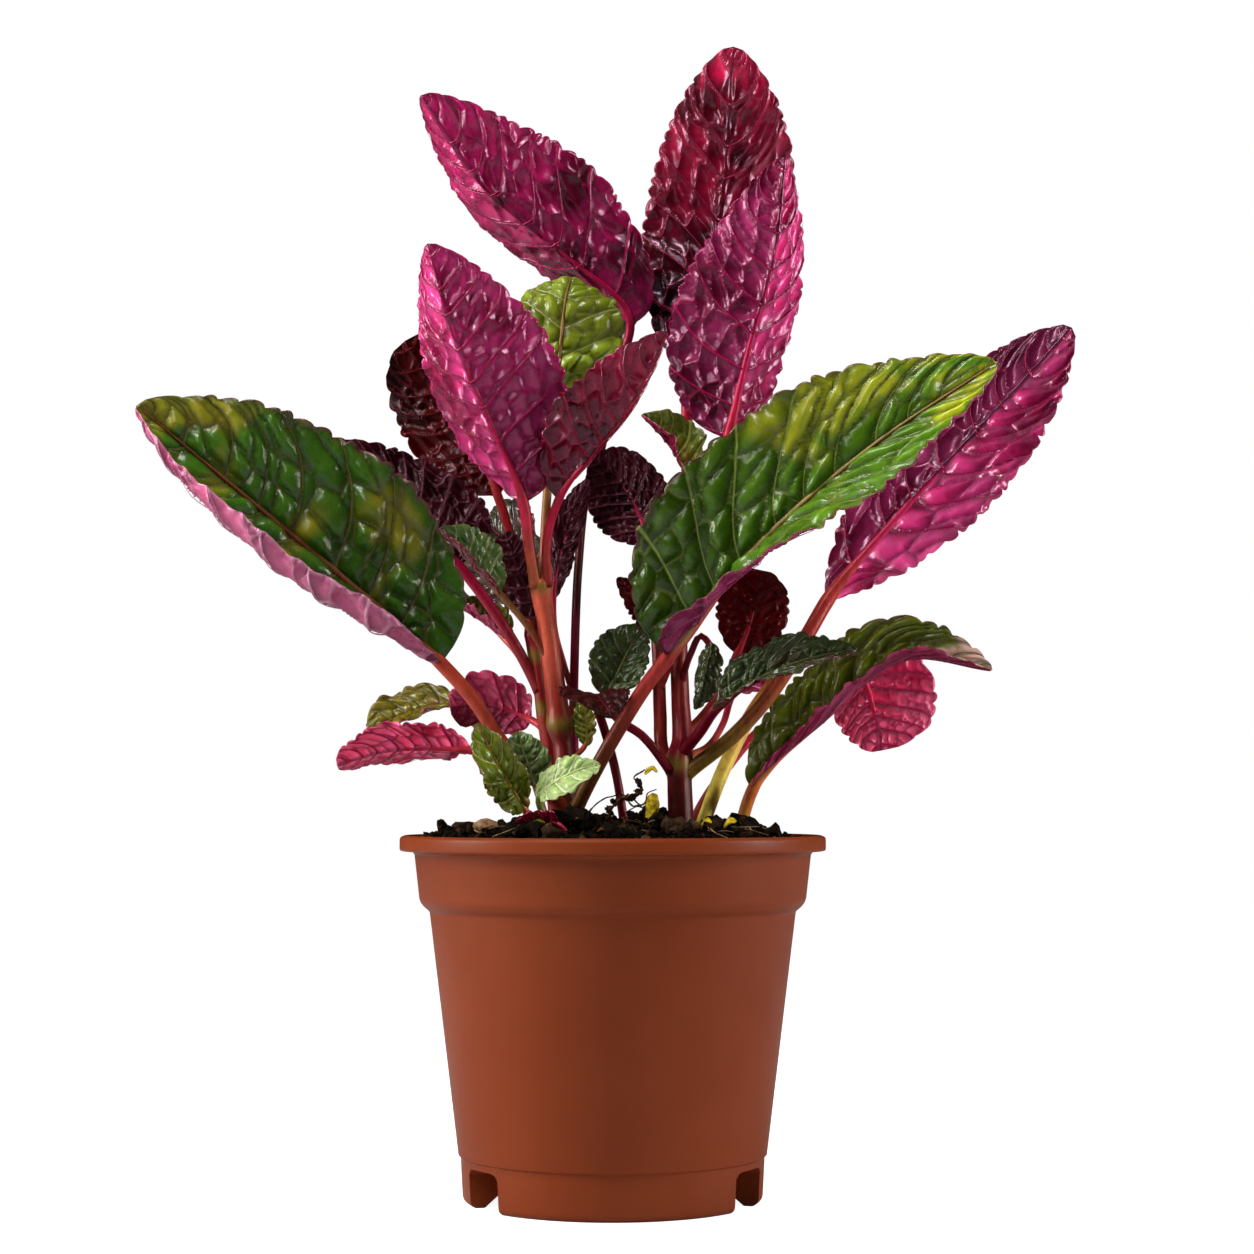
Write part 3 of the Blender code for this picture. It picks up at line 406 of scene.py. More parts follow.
def tube(centres, radii, upper, sides):
    """Rod along the centres: rings of points at equal angles in the plane of two directions square to the
    path, with a pole at each end. The angles start a quarter turn before the upper direction, and the
    radii are one for each ring or each point. Returns points, faces, and each point's ring and angle."""
    forward = unit(np.gradient(centres, axis=0))
    upper = unit(upper - np.sum(upper * forward, axis=1, keepdims=True) * forward)
    side = np.cross(forward, upper)
    angle = np.linspace(0, math.tau, sides, endpoint=False)
    radii = np.broadcast_to(np.asarray(radii, float).reshape(len(centres), -1), (len(centres), sides))
    rings = (centres[:, None] + radii[..., None] * (np.cos(angle)[None, :, None] * side[:, None]
                                                    + np.sin(angle)[None, :, None] * upper[:, None]))
    points = np.concatenate([rings.reshape(-1, 3), centres[:1], centres[-1:]])
    ring = np.concatenate([np.repeat(np.arange(len(centres)), sides), [0, len(centres) - 1]])
    angle = np.concatenate([np.tile(angle, len(centres)), [0, 0]])
    return points, ring_faces(len(centres), sides), ring, angle


def icosphere(subdivisions):
    """Points and triangles of a ball with radius 1."""
    made = bmesh.new()
    bmesh.ops.create_icosphere(made, subdivisions=subdivisions, radius=1.0)
    points = np.array([vert.co[:] for vert in made.verts])
    faces = np.array([[vert.index for vert in face.verts] for face in made.faces])
    made.free()
    return points, faces


def join(parts):
    """One set of points, faces and colours from several, with the faces' numbers moved on."""
    start = 0
    faces = []
    for points, blocks, _ in parts:
        faces += [block + start for block in blocks]
        start += len(points)
    return np.concatenate([p[0] for p in parts]), faces, np.concatenate([p[2] for p in parts])


def attribute(tree, name, out="Color"):
    """Colour or vector that the mesh carries on its points under that name."""
    return add(tree, "Attribute", {}, out, attribute_name=name)


def shaded(tree, shade):
    """The painted colour times a shade."""
    return add(tree, "VectorMath", {0: attribute(tree, "tint"), 1: shade}, operation="MULTIPLY")


def earth_material(name):
    """Colour painted on the points, darkened and roughened by fine noise, with a little damp gloss."""
    material, tree, shader, place = new_material(name)
    grit = noise(tree, place, 900.0, 4.0)
    colour = shaded(tree, spread(tree, grit, 0.45, 1.35, 0.3, 0.7))
    coat(shader, colour, spread(tree, grit, 0.95, 0.55, 0.35, 0.65), 0.08,
         bump(tree, grit, 0.8, 0.0006), (1, 0.75, 0.55))
    return material


# The soil's side, inside the wall and its pockets
wall_radius = np.array([COLLAR_RADIUS - WALL - GAP - 0.4, COLLAR_FOOT_RADIUS - WALL - GAP,
                        BODY_RADIUS - WALL - GAP, BODY_FOOT_RADIUS - WALL - GAP,
                        FOOT_RADIUS - WALL - GAP, FOOT_RADIUS - WALL - GAP, FOOT_RADIUS - WALL - 1.6])
wall_z = np.array([SOIL_EDGE_Z, COLLAR_FOOT_Z + 0.6, BODY_TOP_Z + 1.0, LEDGE_Z + 1,
                   POCKET_TOP_Z + WALL + GAP + HAIR, POCKET_TOP_Z + WALL + GAP - HAIR, FLOOR_Z + GAP])
top_radius = np.linspace(0, wall_radius[0], SOIL_RINGS)[1:]
soil_radius = np.concatenate([top_radius, wall_radius[1:]])[:, None]
soil_z = np.concatenate([np.full(len(top_radius), SOIL_EDGE_Z), wall_z[1:]])[:, None]
soil_angle = np.linspace(0, math.tau, SOIL_SIDES, endpoint=False)[None, :]
x, y, z = draw_in(soil_radius, soil_z, soil_angle, soil_z < SOIL_EDGE_Z, POCKET_WIDTH / 2 + WALL + GAP,
                  POCKET_DEPTH_RADIUS - WALL - GAP, POCKET_TOP_Z + WALL + GAP, FLOOR_Z + GAP)
on_top = np.arange(len(soil_radius)) < len(top_radius) - 1
flat = np.stack([x, y, 0 * x], axis=-1)
rough = 1.1 * grain(flat, 3.1, 1) + 0.6 * grain(flat, 1.5, 2)
z = np.where(on_top[:, None], soil_height(x, y) + rough - SOIL_SINK, z)
soil_points = np.stack([x, y, z], axis=-1).reshape(-1, 3)
crown = (0, 0, float(soil_height(0, 0)) - SOIL_SINK)
soil_points = np.concatenate([soil_points, [crown, (0, 0, FLOOR_Z + GAP)]])
soil_faces = ring_faces(len(soil_radius), SOIL_SIDES)
soil_parts = [(soil_points, soil_faces, tinted(dye(*SOIL_BLACK), 1 + 0.5 * grain(soil_points, 2.0, 3)))]

ball_points, ball_faces = icosphere(2)


def crumbs(places, sizes, colours, seed):
    """Balls scaled to each size and turned at random, the points of each pushed in and out by noise."""
    dice = np.random.default_rng(seed)
    count = len(places)
    turns = np.linalg.qr(dice.normal(size=(count, 3, 3)))[0]
    turns *= np.sign(np.linalg.det(turns))[:, None, None]
    own = ball_points[None] + dice.uniform(-90, 90, (count, 1, 3))
    knobs = 1 + 0.5 * grain(own, 0.8, seed) + 0.25 * grain(own, 0.35, seed)
    shapes = (ball_points[None] * knobs[..., None] * sizes[:, None]) @ turns
    points = (shapes + places[:, None]).reshape(-1, 3)
    faces = (ball_faces[None] + len(ball_points) * np.arange(count)[:, None, None]).reshape(-1, 3)
    return points, [faces], np.repeat(colours, len(ball_points), axis=0)


# The loose crumbs: coarse in clumps and fine between them, and low in front of the stone
reach = CRUMB_REACH * np.sqrt(luck.uniform(0, 1, CRUMBS))
heading = luck.uniform(0, math.tau, CRUMBS)
x, y = reach * np.cos(heading), reach * np.sin(heading)
clump = smooth_step(-0.3, 0.5, grain(np.stack([x, y, 0 * x], axis=-1), 7.0, 9))
crumb_size = 0.6 + (0.6 + 2.3 * clump) * luck.uniform(0, 1, CRUMBS)**2
crumb_size = np.minimum(crumb_size, CRUMB_EDGE - reach)
before_stone = (np.abs(x - STONE_PLACE[0] + 0.5) < 5.0) & (y < STONE_PLACE[1] + 4)
crumb_size = np.where(before_stone, np.minimum(crumb_size, LOW_CRUMB), crumb_size)
z = soil_height(x, y) - 0.6 + 0.6 * crumb_size + luck.uniform(-0.3, 1.3, CRUMBS)
crumb_places = np.stack([x, y, z], axis=1)
crumb_sizes = crumb_size[:, None] * luck.uniform(0.5, 1.15, (CRUMBS, 3))
brownness = luck.uniform(0, 1, CRUMBS)**8
crumb_colours = blend_colours(dye(*SOIL_BLACK), dye(*SOIL_BROWN), brownness)
crumb_colours = crumb_colours * luck.uniform(0.5, 1.3, (CRUMBS, 1))
soil_parts.append(crumbs(crumb_places, crumb_sizes, crumb_colours, 21))

# The root fibres, each a thin bent arc
share = np.linspace(0, 1, FIBRE_STEPS)
for _ in range(FIBRES):
    start_x, start_y = luck.uniform(-FIBRE_REACH, FIBRE_REACH, 2)
    length, bend, heading = luck.uniform(4, 14), luck.uniform(-2.5, 2.5), luck.uniform(0, math.tau)
    x = start_x + length * share * np.cos(heading + bend * share)
    y = start_y + length * share * np.sin(heading + bend * share)
    z = soil_height(x, y) + 0.9 + luck.uniform(0.2, 1.8) * np.sin(math.pi * share)
    centres = np.stack([x, y, z], axis=1)
    points, faces, _, _ = tube(centres, 0.09 + 0.1 * (1 - share), (0, 0, 1), 4)
    tan = tinted(dye(*FIBRE_TAN), np.full(len(points), luck.uniform(0.4, 1.1)))
    soil_parts.append((points, faces, tan))
points, faces, tint = join(soil_parts)
potting_mix = earth_material("potting_mix")
soil = new_piece("soil_heap", points, faces, [potting_mix], {"tint": tint}, sharp=SOIL_CREASE)
dress(soil, "soil_mix", "soil")


# Stone
# One lump of tan stone, seven millimetres long, lies at the left, sunk a little in the soil.
# Its face is pitted and knobbed.

STONE_RADII = (3.6, 3.0, 2.5)
STONE_LIFT = 1.2             # its middle above the soil
STONE_TAN = (150, 118, 86)

lump_points, lump_faces = icosphere(4)
knobs = 0.97 + 0.13 * grain(lump_points, 0.8, 5) + 0.06 * grain(lump_points, 0.3, 6)
lump_centre = np.array([*STONE_PLACE, float(soil_height(*STONE_PLACE)) + STONE_LIFT])
stone_points = lump_points * knobs[:, None] * STONE_RADII + lump_centre
stone_tint = tinted(dye(*STONE_TAN), 0.85 + 0.4 * grain(stone_points, 1.6, 7))
stone_material = earth_material("pitted_stone")
stone = new_piece("tan_stone", stone_points, [lump_faces], [stone_material], {"tint": stone_tint})
dress(stone, "stone", "stone")


# Litter
# A dried brown sprig with two shrivelled yellow leaves curls up from the soil, dry bits cling to it, and
# two dead wiry stalks bow beside it. A few small flakes of old leaf lie on the soil towards the front.

SPRIG_BROWN = (92, 60, 26)
WIRE_BLACK = (36, 24, 18)
DEAD_YELLOW = (196, 168, 36)
DEAD_GREEN = (128, 138, 40)
SPRIG_SIDES = 7
SPRIG_STEP = 0.5
SPRIG_BITS = 36
FLAKE_HALF = 0.16            # half the thickness of a flake
FLAKE_RINGS = 16
FLAKE_SIDES = 20
# Path, radius and colour of each twig, then path, half width and colour of each flake
TWIGS = (
    (((1, -14, 103), (-1, -15, 108), (2, -16, 112), (6, -15, 113), (8, -16, 116), (6, -17, 118),
      (9, -17, 120)), 0.42, SPRIG_BROWN),
    (((4, -15.5, 112), (6, -17, 110), (9, -18, 111), (10, -17, 114), (12, -17, 115)), 0.34, SPRIG_BROWN),
    (((-7, -13, 103), (-6, -14, 109), (-1, -15, 112.5), (4, -15, 113), (8, -14, 110), (9, -13, 104)),
     0.3, WIRE_BLACK),
    (((12, -12, 103), (11, -13, 107), (7, -14, 110), (3, -13, 108)), 0.26, WIRE_BLACK),
)
FLAKES = (
    (((9, -17, 119), (11, -17.5, 120.5), (12.5, -17, 119.5)), 1.1, DEAD_YELLOW),
    (((10, -16, 107), (11, -16.5, 110), (11.5, -17, 113.5)), 2.1, DEAD_YELLOW),
    (((30.5, -24, 104.6), (32, -25, 106.2), (34, -25, 105.8)), 1.5, DEAD_YELLOW),
    (((24.5, -27, 105), (25.5, -28, 106.3), (27, -28, 105.6)), 1.1, DEAD_YELLOW),
    (((-22, -36, 104.4), (-20.5, -37, 106.3), (-18, -37, 105.4)), 1.6, DEAD_GREEN),
    (((-4, -36, 103.4), (-2.6, -37, 104.4), (-1, -37, 103.8)), 0.9, SPRIG_BROWN),
)


def smooth_curve(points, steps=240):
    """Cubic curve through the points: positions, tangents, distances along it, and those at the points."""
    knots = np.array(points, float)
    chord = np.concatenate([[0.0], np.cumsum(np.linalg.norm(np.diff(knots, axis=0), axis=1))])
    slope = np.gradient(knots, chord, axis=0)
    place = np.linspace(0, chord[-1], steps)
    span = np.clip(np.searchsorted(chord, place, side="right") - 1, 0, len(knots) - 2)
    width = (chord[span + 1] - chord[span])[:, None]
    s = (place[:, None] - chord[span][:, None]) / width
    position = ((2 * s**3 - 3 * s**2 + 1) * knots[span] + (s**3 - 2 * s**2 + s) * width * slope[span]
                + (3 * s**2 - 2 * s**3) * knots[span + 1] + (s**3 - s**2) * width * slope[span + 1])
    run = np.concatenate([[0.0], np.cumsum(np.linalg.norm(np.diff(position, axis=0), axis=1))])
    tangent = np.gradient(position, run, axis=0)
    return position, tangent, run, np.interp(chord, place, run)


def along(run, values, distance):
    """Each coordinate of the values, read at the given distances along the run."""
    return np.stack([np.interp(distance, run, values[:, k]) for k in range(values.shape[1])], axis=-1)


def jitter(points, size, seed):
    """A small move for each point, with noise of its own along each axis."""
    return np.stack([grain(points, size, seed + axis) for axis in range(3)], axis=1)


litter_parts = []
for number, (path, thickness, colour) in enumerate(TWIGS):
    position, _, run, _ = smooth_curve(path)
    places = np.linspace(0, run[-1], round(run[-1] / SPRIG_STEP))
    centres = along(run, position, places)
    centres = centres + 0.35 * jitter(centres, 1.8, number + 31)
    thick = thickness * (1 - 0.5 * places / run[-1]) * (1 + 0.35 * grain(centres, 0.9, number + 41))
    points, faces, _, _ = tube(centres, thick, (0, -1, 0.1), SPRIG_SIDES)
    litter_parts.append((points, faces, tinted(dye(*colour), 1 + 0.5 * grain(points, 1.2, 51))))
for number, (path, half_width, colour) in enumerate(FLAKES):
    position, _, run, _ = smooth_curve(path)
    places = np.linspace(0, run[-1], FLAKE_RINGS)
    centres = along(run, position, places)
    widths = (half_width * np.sin(math.pi * (0.06 + 0.88 * places / run[-1]))**0.6)[:, None]
    angle = np.linspace(0, math.tau, FLAKE_SIDES, endpoint=False)
    oval = widths * FLAKE_HALF / np.sqrt((FLAKE_HALF * np.cos(angle))**2 + (widths * np.sin(angle))**2)
    points, faces, _, _ = tube(centres, oval, (0, -0.6, 0.8), FLAKE_SIDES)
    points = points + 0.4 * jitter(points, 1.6, number + 61)
    litter_parts.append((points, faces, tinted(dye(*colour), 1 + 0.5 * grain(points, 1.1, 71))))
sprig, _, run, _ = smooth_curve(TWIGS[0][0])
bits = luck.uniform((0.15, -0.4, -0.4, -0.5, 0.4), (0.8, 0.4, 0.4, 0.4, 1.1), (SPRIG_BITS, 5))
bit_places = along(run, sprig, bits[:, 0] * run[-1]) + bits[:, 1:4]
bit_sizes = bits[:, 4:] * (1.5, 0.8, 0.6)
bit_colours = blend_colours(dye(*WIRE_BLACK), dye(*SPRIG_BROWN), luck.uniform(0, 1, SPRIG_BITS)**2)
litter_parts.append(crumbs(bit_places, bit_sizes, bit_colours, 81))
points, faces, tint = join(litter_parts)
litter = new_piece("dried_litter", points, faces, [earth_material("dried_plant")], {"tint": tint})
dress(litter, "soil_mix")


# Stems
# Five fleshy stems, squarish in section, swollen at their nodes, rise from the soil and branch.
# They are brown-green at the foot and pink to crimson above, with a green band at each node.

RED_BROWN = (138, 42, 28)
TAN_PINK = (206, 86, 62)
CRIMSON = (128, 8, 34)
DARK_CRIMSON = (64, 5, 8)
OLIVE = (112, 100, 32)
DARK_OLIVE = (72, 58, 24)
MAGENTA_STEM = (176, 14, 72)
DARK_BROWN = (58, 26, 22)

# Points and radii up the stem, the heights of its green bands, and its colour at a few heights
Stem = namedtuple("Stem", "name points radii bands stops")
STEMS = (
    Stem("stem_left_front",
         ((-11.5, -2, 88), (-12, -2, 103), (-13.5, -1, 118), (-14.2, 0, 128), (-15, 0, 133),
          (-15.6, 0, 138), (-17, -0.5, 149), (-19, -2, 163), (-20.2, -3, 171), (-20.4, -3.5, 175)),
         (3.9, 3.9, 3.0, 2.6, 3.8, 3.0, 2.7, 2.5, 3.0, 2.9), (134, 173),
         ((100, DARK_OLIVE), (120, DARK_CRIMSON), (140, RED_BROWN), (158, TAN_PINK), (175, TAN_PINK))),
    Stem("stem_left_back",
         ((-15, 11, 88), (-15.5, 11, 103), (-17.5, 10, 120), (-19.5, 9, 136), (-20.5, 8.5, 141),
          (-21.5, 8, 149), (-22.2, 8, 154), (-24, 8, 161)),
         (2.6, 2.6, 2.2, 2.4, 1.9, 1.8, 2.3, 1.8), (139, 154),
         ((100, DARK_OLIVE), (115, CRIMSON), (130, RED_BROWN), (161, CRIMSON))),
    Stem("stem_tall",
         ((-8, 12, 88), (-9.5, 11, 103), (-11.2, 11, 127), (-11, 11, 155), (-10, 14, 180),
          (-8, 17, 200), (-2, 18, 222)),
         (1.5, 1.5, 1.3, 1.2, 1.2, 1.2, 1.2), (141,),
         ((100, MAGENTA_STEM), (148, MAGENTA_STEM), (170, DARK_BROWN), (222, CRIMSON))),
    Stem("stem_right",
         ((19.2, -4, 88), (19.2, -4, 104), (18.8, -4, 117), (18.8, -3.5, 123), (19.5, -1, 128),
          (19.2, 3, 140), (18.8, 6, 155), (19, 8, 170), (19.5, 9, 180)),
         (3.5, 3.5, 3.3, 3.8, 2.8, 2.5, 2.4, 2.3, 2.4), (123, 179),
         ((100, DARK_CRIMSON), (118, DARK_CRIMSON), (127, CRIMSON), (150, RED_BROWN), (180, MAGENTA_STEM))),
    Stem("stem_right_branch",
         ((17, -2.5, 119), (14, 0, 126), (13.4, 2, 136), (13, 5, 150), (12, 9, 166), (11.6, 10.5, 174)),
         (1.8, 1.8, 1.8, 1.7, 1.6, 1.8), (174,),
         ((119, DARK_CRIMSON), (130, RED_BROWN), (150, RED_BROWN), (174, MAGENTA_STEM))),
)
STEM_SIDES = 20
STEM_STEP = 0.9
BAND_HEIGHT = 1.9            # about half the height of a green band


def stem_material():
    """Fleshy stem: the painted colour, streaked along its length and freckled, with a waxy gloss."""
    material, tree, shader, place = new_material("fleshy_stem")
    streak = noise(tree, add(tree, "Mapping", {"Vector": place, "Scale": (1.0, 1.0, 0.12)}), 900.0, 3.0)
    freckles = spread(tree, noise(tree, place, 1400.0, 1.0), 1.0, 0.55, 0.66, 0.74)
    shade = math_node(tree, "MULTIPLY", freckles, spread(tree, streak, 0.78, 1.2, 0.3, 0.7))
    coat(shader, shaded(tree, shade), spread(tree, streak, 0.28, 0.46), 0.4,
         bump(tree, streak, 0.35, 0.0004), (1, 0.6, 0.5))
    return material


def height_colours(stops, z):
    """The colour at each height, blended between the stops of (height, colour)."""
    heights = [height for height, _ in stops]
    colours = np.array([dye(*colour) for _, colour in stops])
    return along(heights, colours, z)


fleshy = stem_material()
for stem in STEMS:
    position, _, run, knots = smooth_curve(stem.points)
    places = np.linspace(0, run[-1], max(12, round(run[-1] / STEM_STEP)))
    centres = along(run, position, places)
    thick = np.interp(places, knots, stem.radii)
    thick[-2:] *= (0.8, 0.35)
    angle = np.linspace(0, math.tau, STEM_SIDES, endpoint=False)
    squarish = thick[:, None] * (1 + 0.045 * np.cos(4 * angle))[None, :]
    points, faces, _, around = tube(centres, squarish, (0, -1, 0), STEM_SIDES)
    colour = height_colours(stem.stops, points[:, 2] + 2.5 * grain(points, 4.0, 8))
    streak = smooth_step(0.0, 0.6, grain(points * (1, 1, 0.12), 1.4, 9))
    colour = blend_colours(colour, dye(*CRIMSON), 0.5 * streak)
    for band in stem.bands:
        near = np.exp(-((points[:, 2] - band + 1.2 * np.sin(around)) / BAND_HEIGHT)**2)
        colour = blend_colours(colour, dye(*OLIVE), 0.85 * near)
    piece = new_piece(stem.name + "_skin", points, faces, [fleshy], {"tint": colour})
    dress(piece, "stem", stem.name)


# Leaves
# Each leaf is one fleshy stalk that runs on as the midrib of a thin puckered blade with a scalloped edge.
# The blade swells between its side veins like a waffle, mostly green or dark above and magenta to dark red
# beneath, where the veins stand out.

BLADE = 0.5                  # thickness
CREASE = 0.9                 # how far side veins run forward on their way out, for a blade of length 1
WAVES = 2.5                  # waves along each margin
SWAY = 0.014                 # how far a side vein strays from its line, for a blade of length 1
SCALLOP_DEPTH = 0.36         # in scallop lengths
SCALLOP_LEVEL = 0.88         # share of that depth that lies inside the blade's plain outline
RUFFLE = 0.13                # how far a scallop tips up and down, in scallop lengths
CELL = 0.72                  # width of a swelling across, in vein spacings
CELLS_ALONG = 1.3            # swellings between two side veins
CELL_RIM = 0.75              # how deep in its cell a swelling reaches its full height
PUFF = 0.26                  # height of a swelling, in vein spacings
WRINKLE = 0.018              # height of the finer folds, times the root of half width and vein spacing
LAST_ROW = 0.985             # where the blade's last row of points lies, as a share of its length
TIP_PLACE = 0.993            # and its tip
STALK_STEP = 1.5
STALK_SIDES = 12
VEIN_SIDES = 5
# A leaf's tones and light are partly its own tone and partly painted light and shade.
DARKEST_TONE_AND_LIGHT = 0.04          # least brightness that a leaf's tones come to along it
ARC_PLACES, ARC_WEIGHTS = np.polynomial.legendre.leggauss(5)
Grid = namedtuple("Grid", "veins rows columns")
LONG = Grid(10, 168, 34)
WIDE = Grid(8, 168, 34)
LARGE = Grid(8, 140, 32)
MEDIUM = Grid(7, 84, 22)
BROAD = Grid(5, 84, 22)
SMALL = Grid(5, 54, 15)

# Colours of the upper side and its patches and veins, of the underside and its patches and veins, of the
# midrib below and above, and of the stalk's foot and head. The lean is how much more of the patches there
# is at the tip than at the base, and at the base itself.
Look = namedtuple("Look", "upper patch upper_vein under shade under_vein rib rib_top stalk_foot stalk_head "
                          "slot lean", defaults=((0, 0),))
LOOKS = {
    "magenta": Look((66, 62, 46), (88, 42, 50), (60, 20, 30), (190, 28, 98), (104, 4, 40), (164, 4, 74),
                    (172, 4, 70), (90, 40, 30), (150, 50, 44), (190, 16, 72), "leaf_magenta"),
    "rose": Look((68, 76, 40), (100, 54, 50), (60, 20, 30), (196, 50, 116), (140, 12, 64), (164, 4, 70),
                 (186, 8, 76), (90, 40, 30), (176, 84, 50), (206, 30, 70), "leaf_magenta"),
    "crimson": Look((58, 56, 42), (76, 34, 42), (60, 20, 30), (142, 10, 48), (74, 2, 18), (150, 4, 50),
                    (176, 6, 58), (80, 30, 28), (150, 44, 40), (184, 12, 60), "leaf_crimson"),
    "wine": Look((46, 54, 34), (70, 28, 26), (40, 10, 10), (76, 2, 4), (36, 0, 1), (84, 3, 8), (140, 8, 28),
                 (80, 30, 28), (150, 52, 36), (160, 26, 36), "leaf_crimson"),
    "dusk": Look((42, 50, 38), (56, 30, 36), (40, 20, 20), (50, 6, 14), (22, 1, 4), (84, 34, 48),
                 (150, 10, 58), (70, 30, 28), (130, 30, 40), (156, 12, 54), "leaf_dark"),
    "forest": Look((46, 80, 14), (114, 108, 22), (96, 86, 40), (168, 80, 112), (112, 34, 68),
                   (226, 156, 182), (160, 30, 56), (112, 70, 40), (150, 56, 36), (180, 66, 46),
                   "leaf_green", (1.1, -0.8)),
    "spring": Look((74, 112, 14), (146, 150, 26), (126, 142, 60), (160, 48, 98), (104, 14, 52),
                   (196, 60, 120), (176, 14, 66), (170, 150, 90), (78, 52, 14), (164, 46, 42),
                   "leaf_green", (1.3, -0.8)),
    "olive": Look((90, 104, 18), (126, 96, 32), (150, 150, 60), (150, 40, 76), (100, 12, 40), (180, 40, 90),
                  (196, 30, 74), (150, 120, 60), (170, 136, 40), (204, 70, 52), "leaf_green"),
    "bronze": Look((38, 54, 18), (52, 40, 18), (72, 84, 40), (86, 10, 26), (44, 3, 10), (120, 16, 40),
                   (124, 8, 34), (80, 90, 46), (120, 10, 34), (112, 8, 32), "leaf_dark_green"),
    "jade": Look((58, 84, 34), (88, 84, 28), (120, 134, 76), (110, 30, 40), (60, 8, 16), (140, 50, 50),
                 (120, 50, 38), (120, 130, 80), (120, 56, 34), (110, 76, 38), "leaf_dark_green"),
    "lime": Look((134, 154, 30), (120, 130, 26), (146, 150, 64), (130, 100, 60), (90, 60, 40),
                 (150, 110, 70), (140, 90, 50), (150, 110, 60), (150, 90, 50), (140, 100, 50),
                 "leaf_green"),
    "arching": Look((92, 106, 8), (240, 196, 180), (120, 118, 50), (176, 50, 96), (120, 16, 52),
                    (190, 40, 96), (196, 20, 76), (150, 120, 60), (250, 222, 60), (232, 120, 48),
                    "leaf_green", (4.5, -3.3)),
    "blush": Look((60, 62, 26), (84, 40, 36), (60, 20, 30), (208, 76, 112), (170, 34, 66), (176, 12, 70),
                  (190, 12, 66), (90, 40, 30), (150, 50, 44), (204, 50, 66), "leaf_magenta"),
    "umber": Look((66, 20, 20), (40, 28, 14), (40, 10, 12), (90, 8, 24), (44, 3, 10), (100, 10, 30),
                  (124, 8, 34), (90, 20, 26), (120, 10, 34), (112, 8, 32), "leaf_dark_green"),
    "gold": Look((118, 106, 22), (140, 84, 34), (110, 100, 30), (150, 40, 76), (100, 12, 40), (180, 40, 90),
                 (150, 60, 60), (130, 90, 40), (150, 90, 40), (180, 60, 52), "leaf_green"),
    "pale": Look((160, 190, 104), (190, 210, 140), (206, 220, 160), (150, 170, 100), (120, 140, 80),
                 (190, 200, 140), (180, 190, 120), (200, 214, 150), (120, 60, 50), (150, 150, 80),
                 "leaf_pale_green"),
}
LOOKS["olive_stalk"] = LOOKS["rose"]._replace(stalk_foot=(112, 88, 16), stalk_head=(180, 52, 44))
LOOKS["yellow_stalk"] = LOOKS["blush"]._replace(stalk_foot=(255, 236, 96), stalk_head=(226, 110, 56))
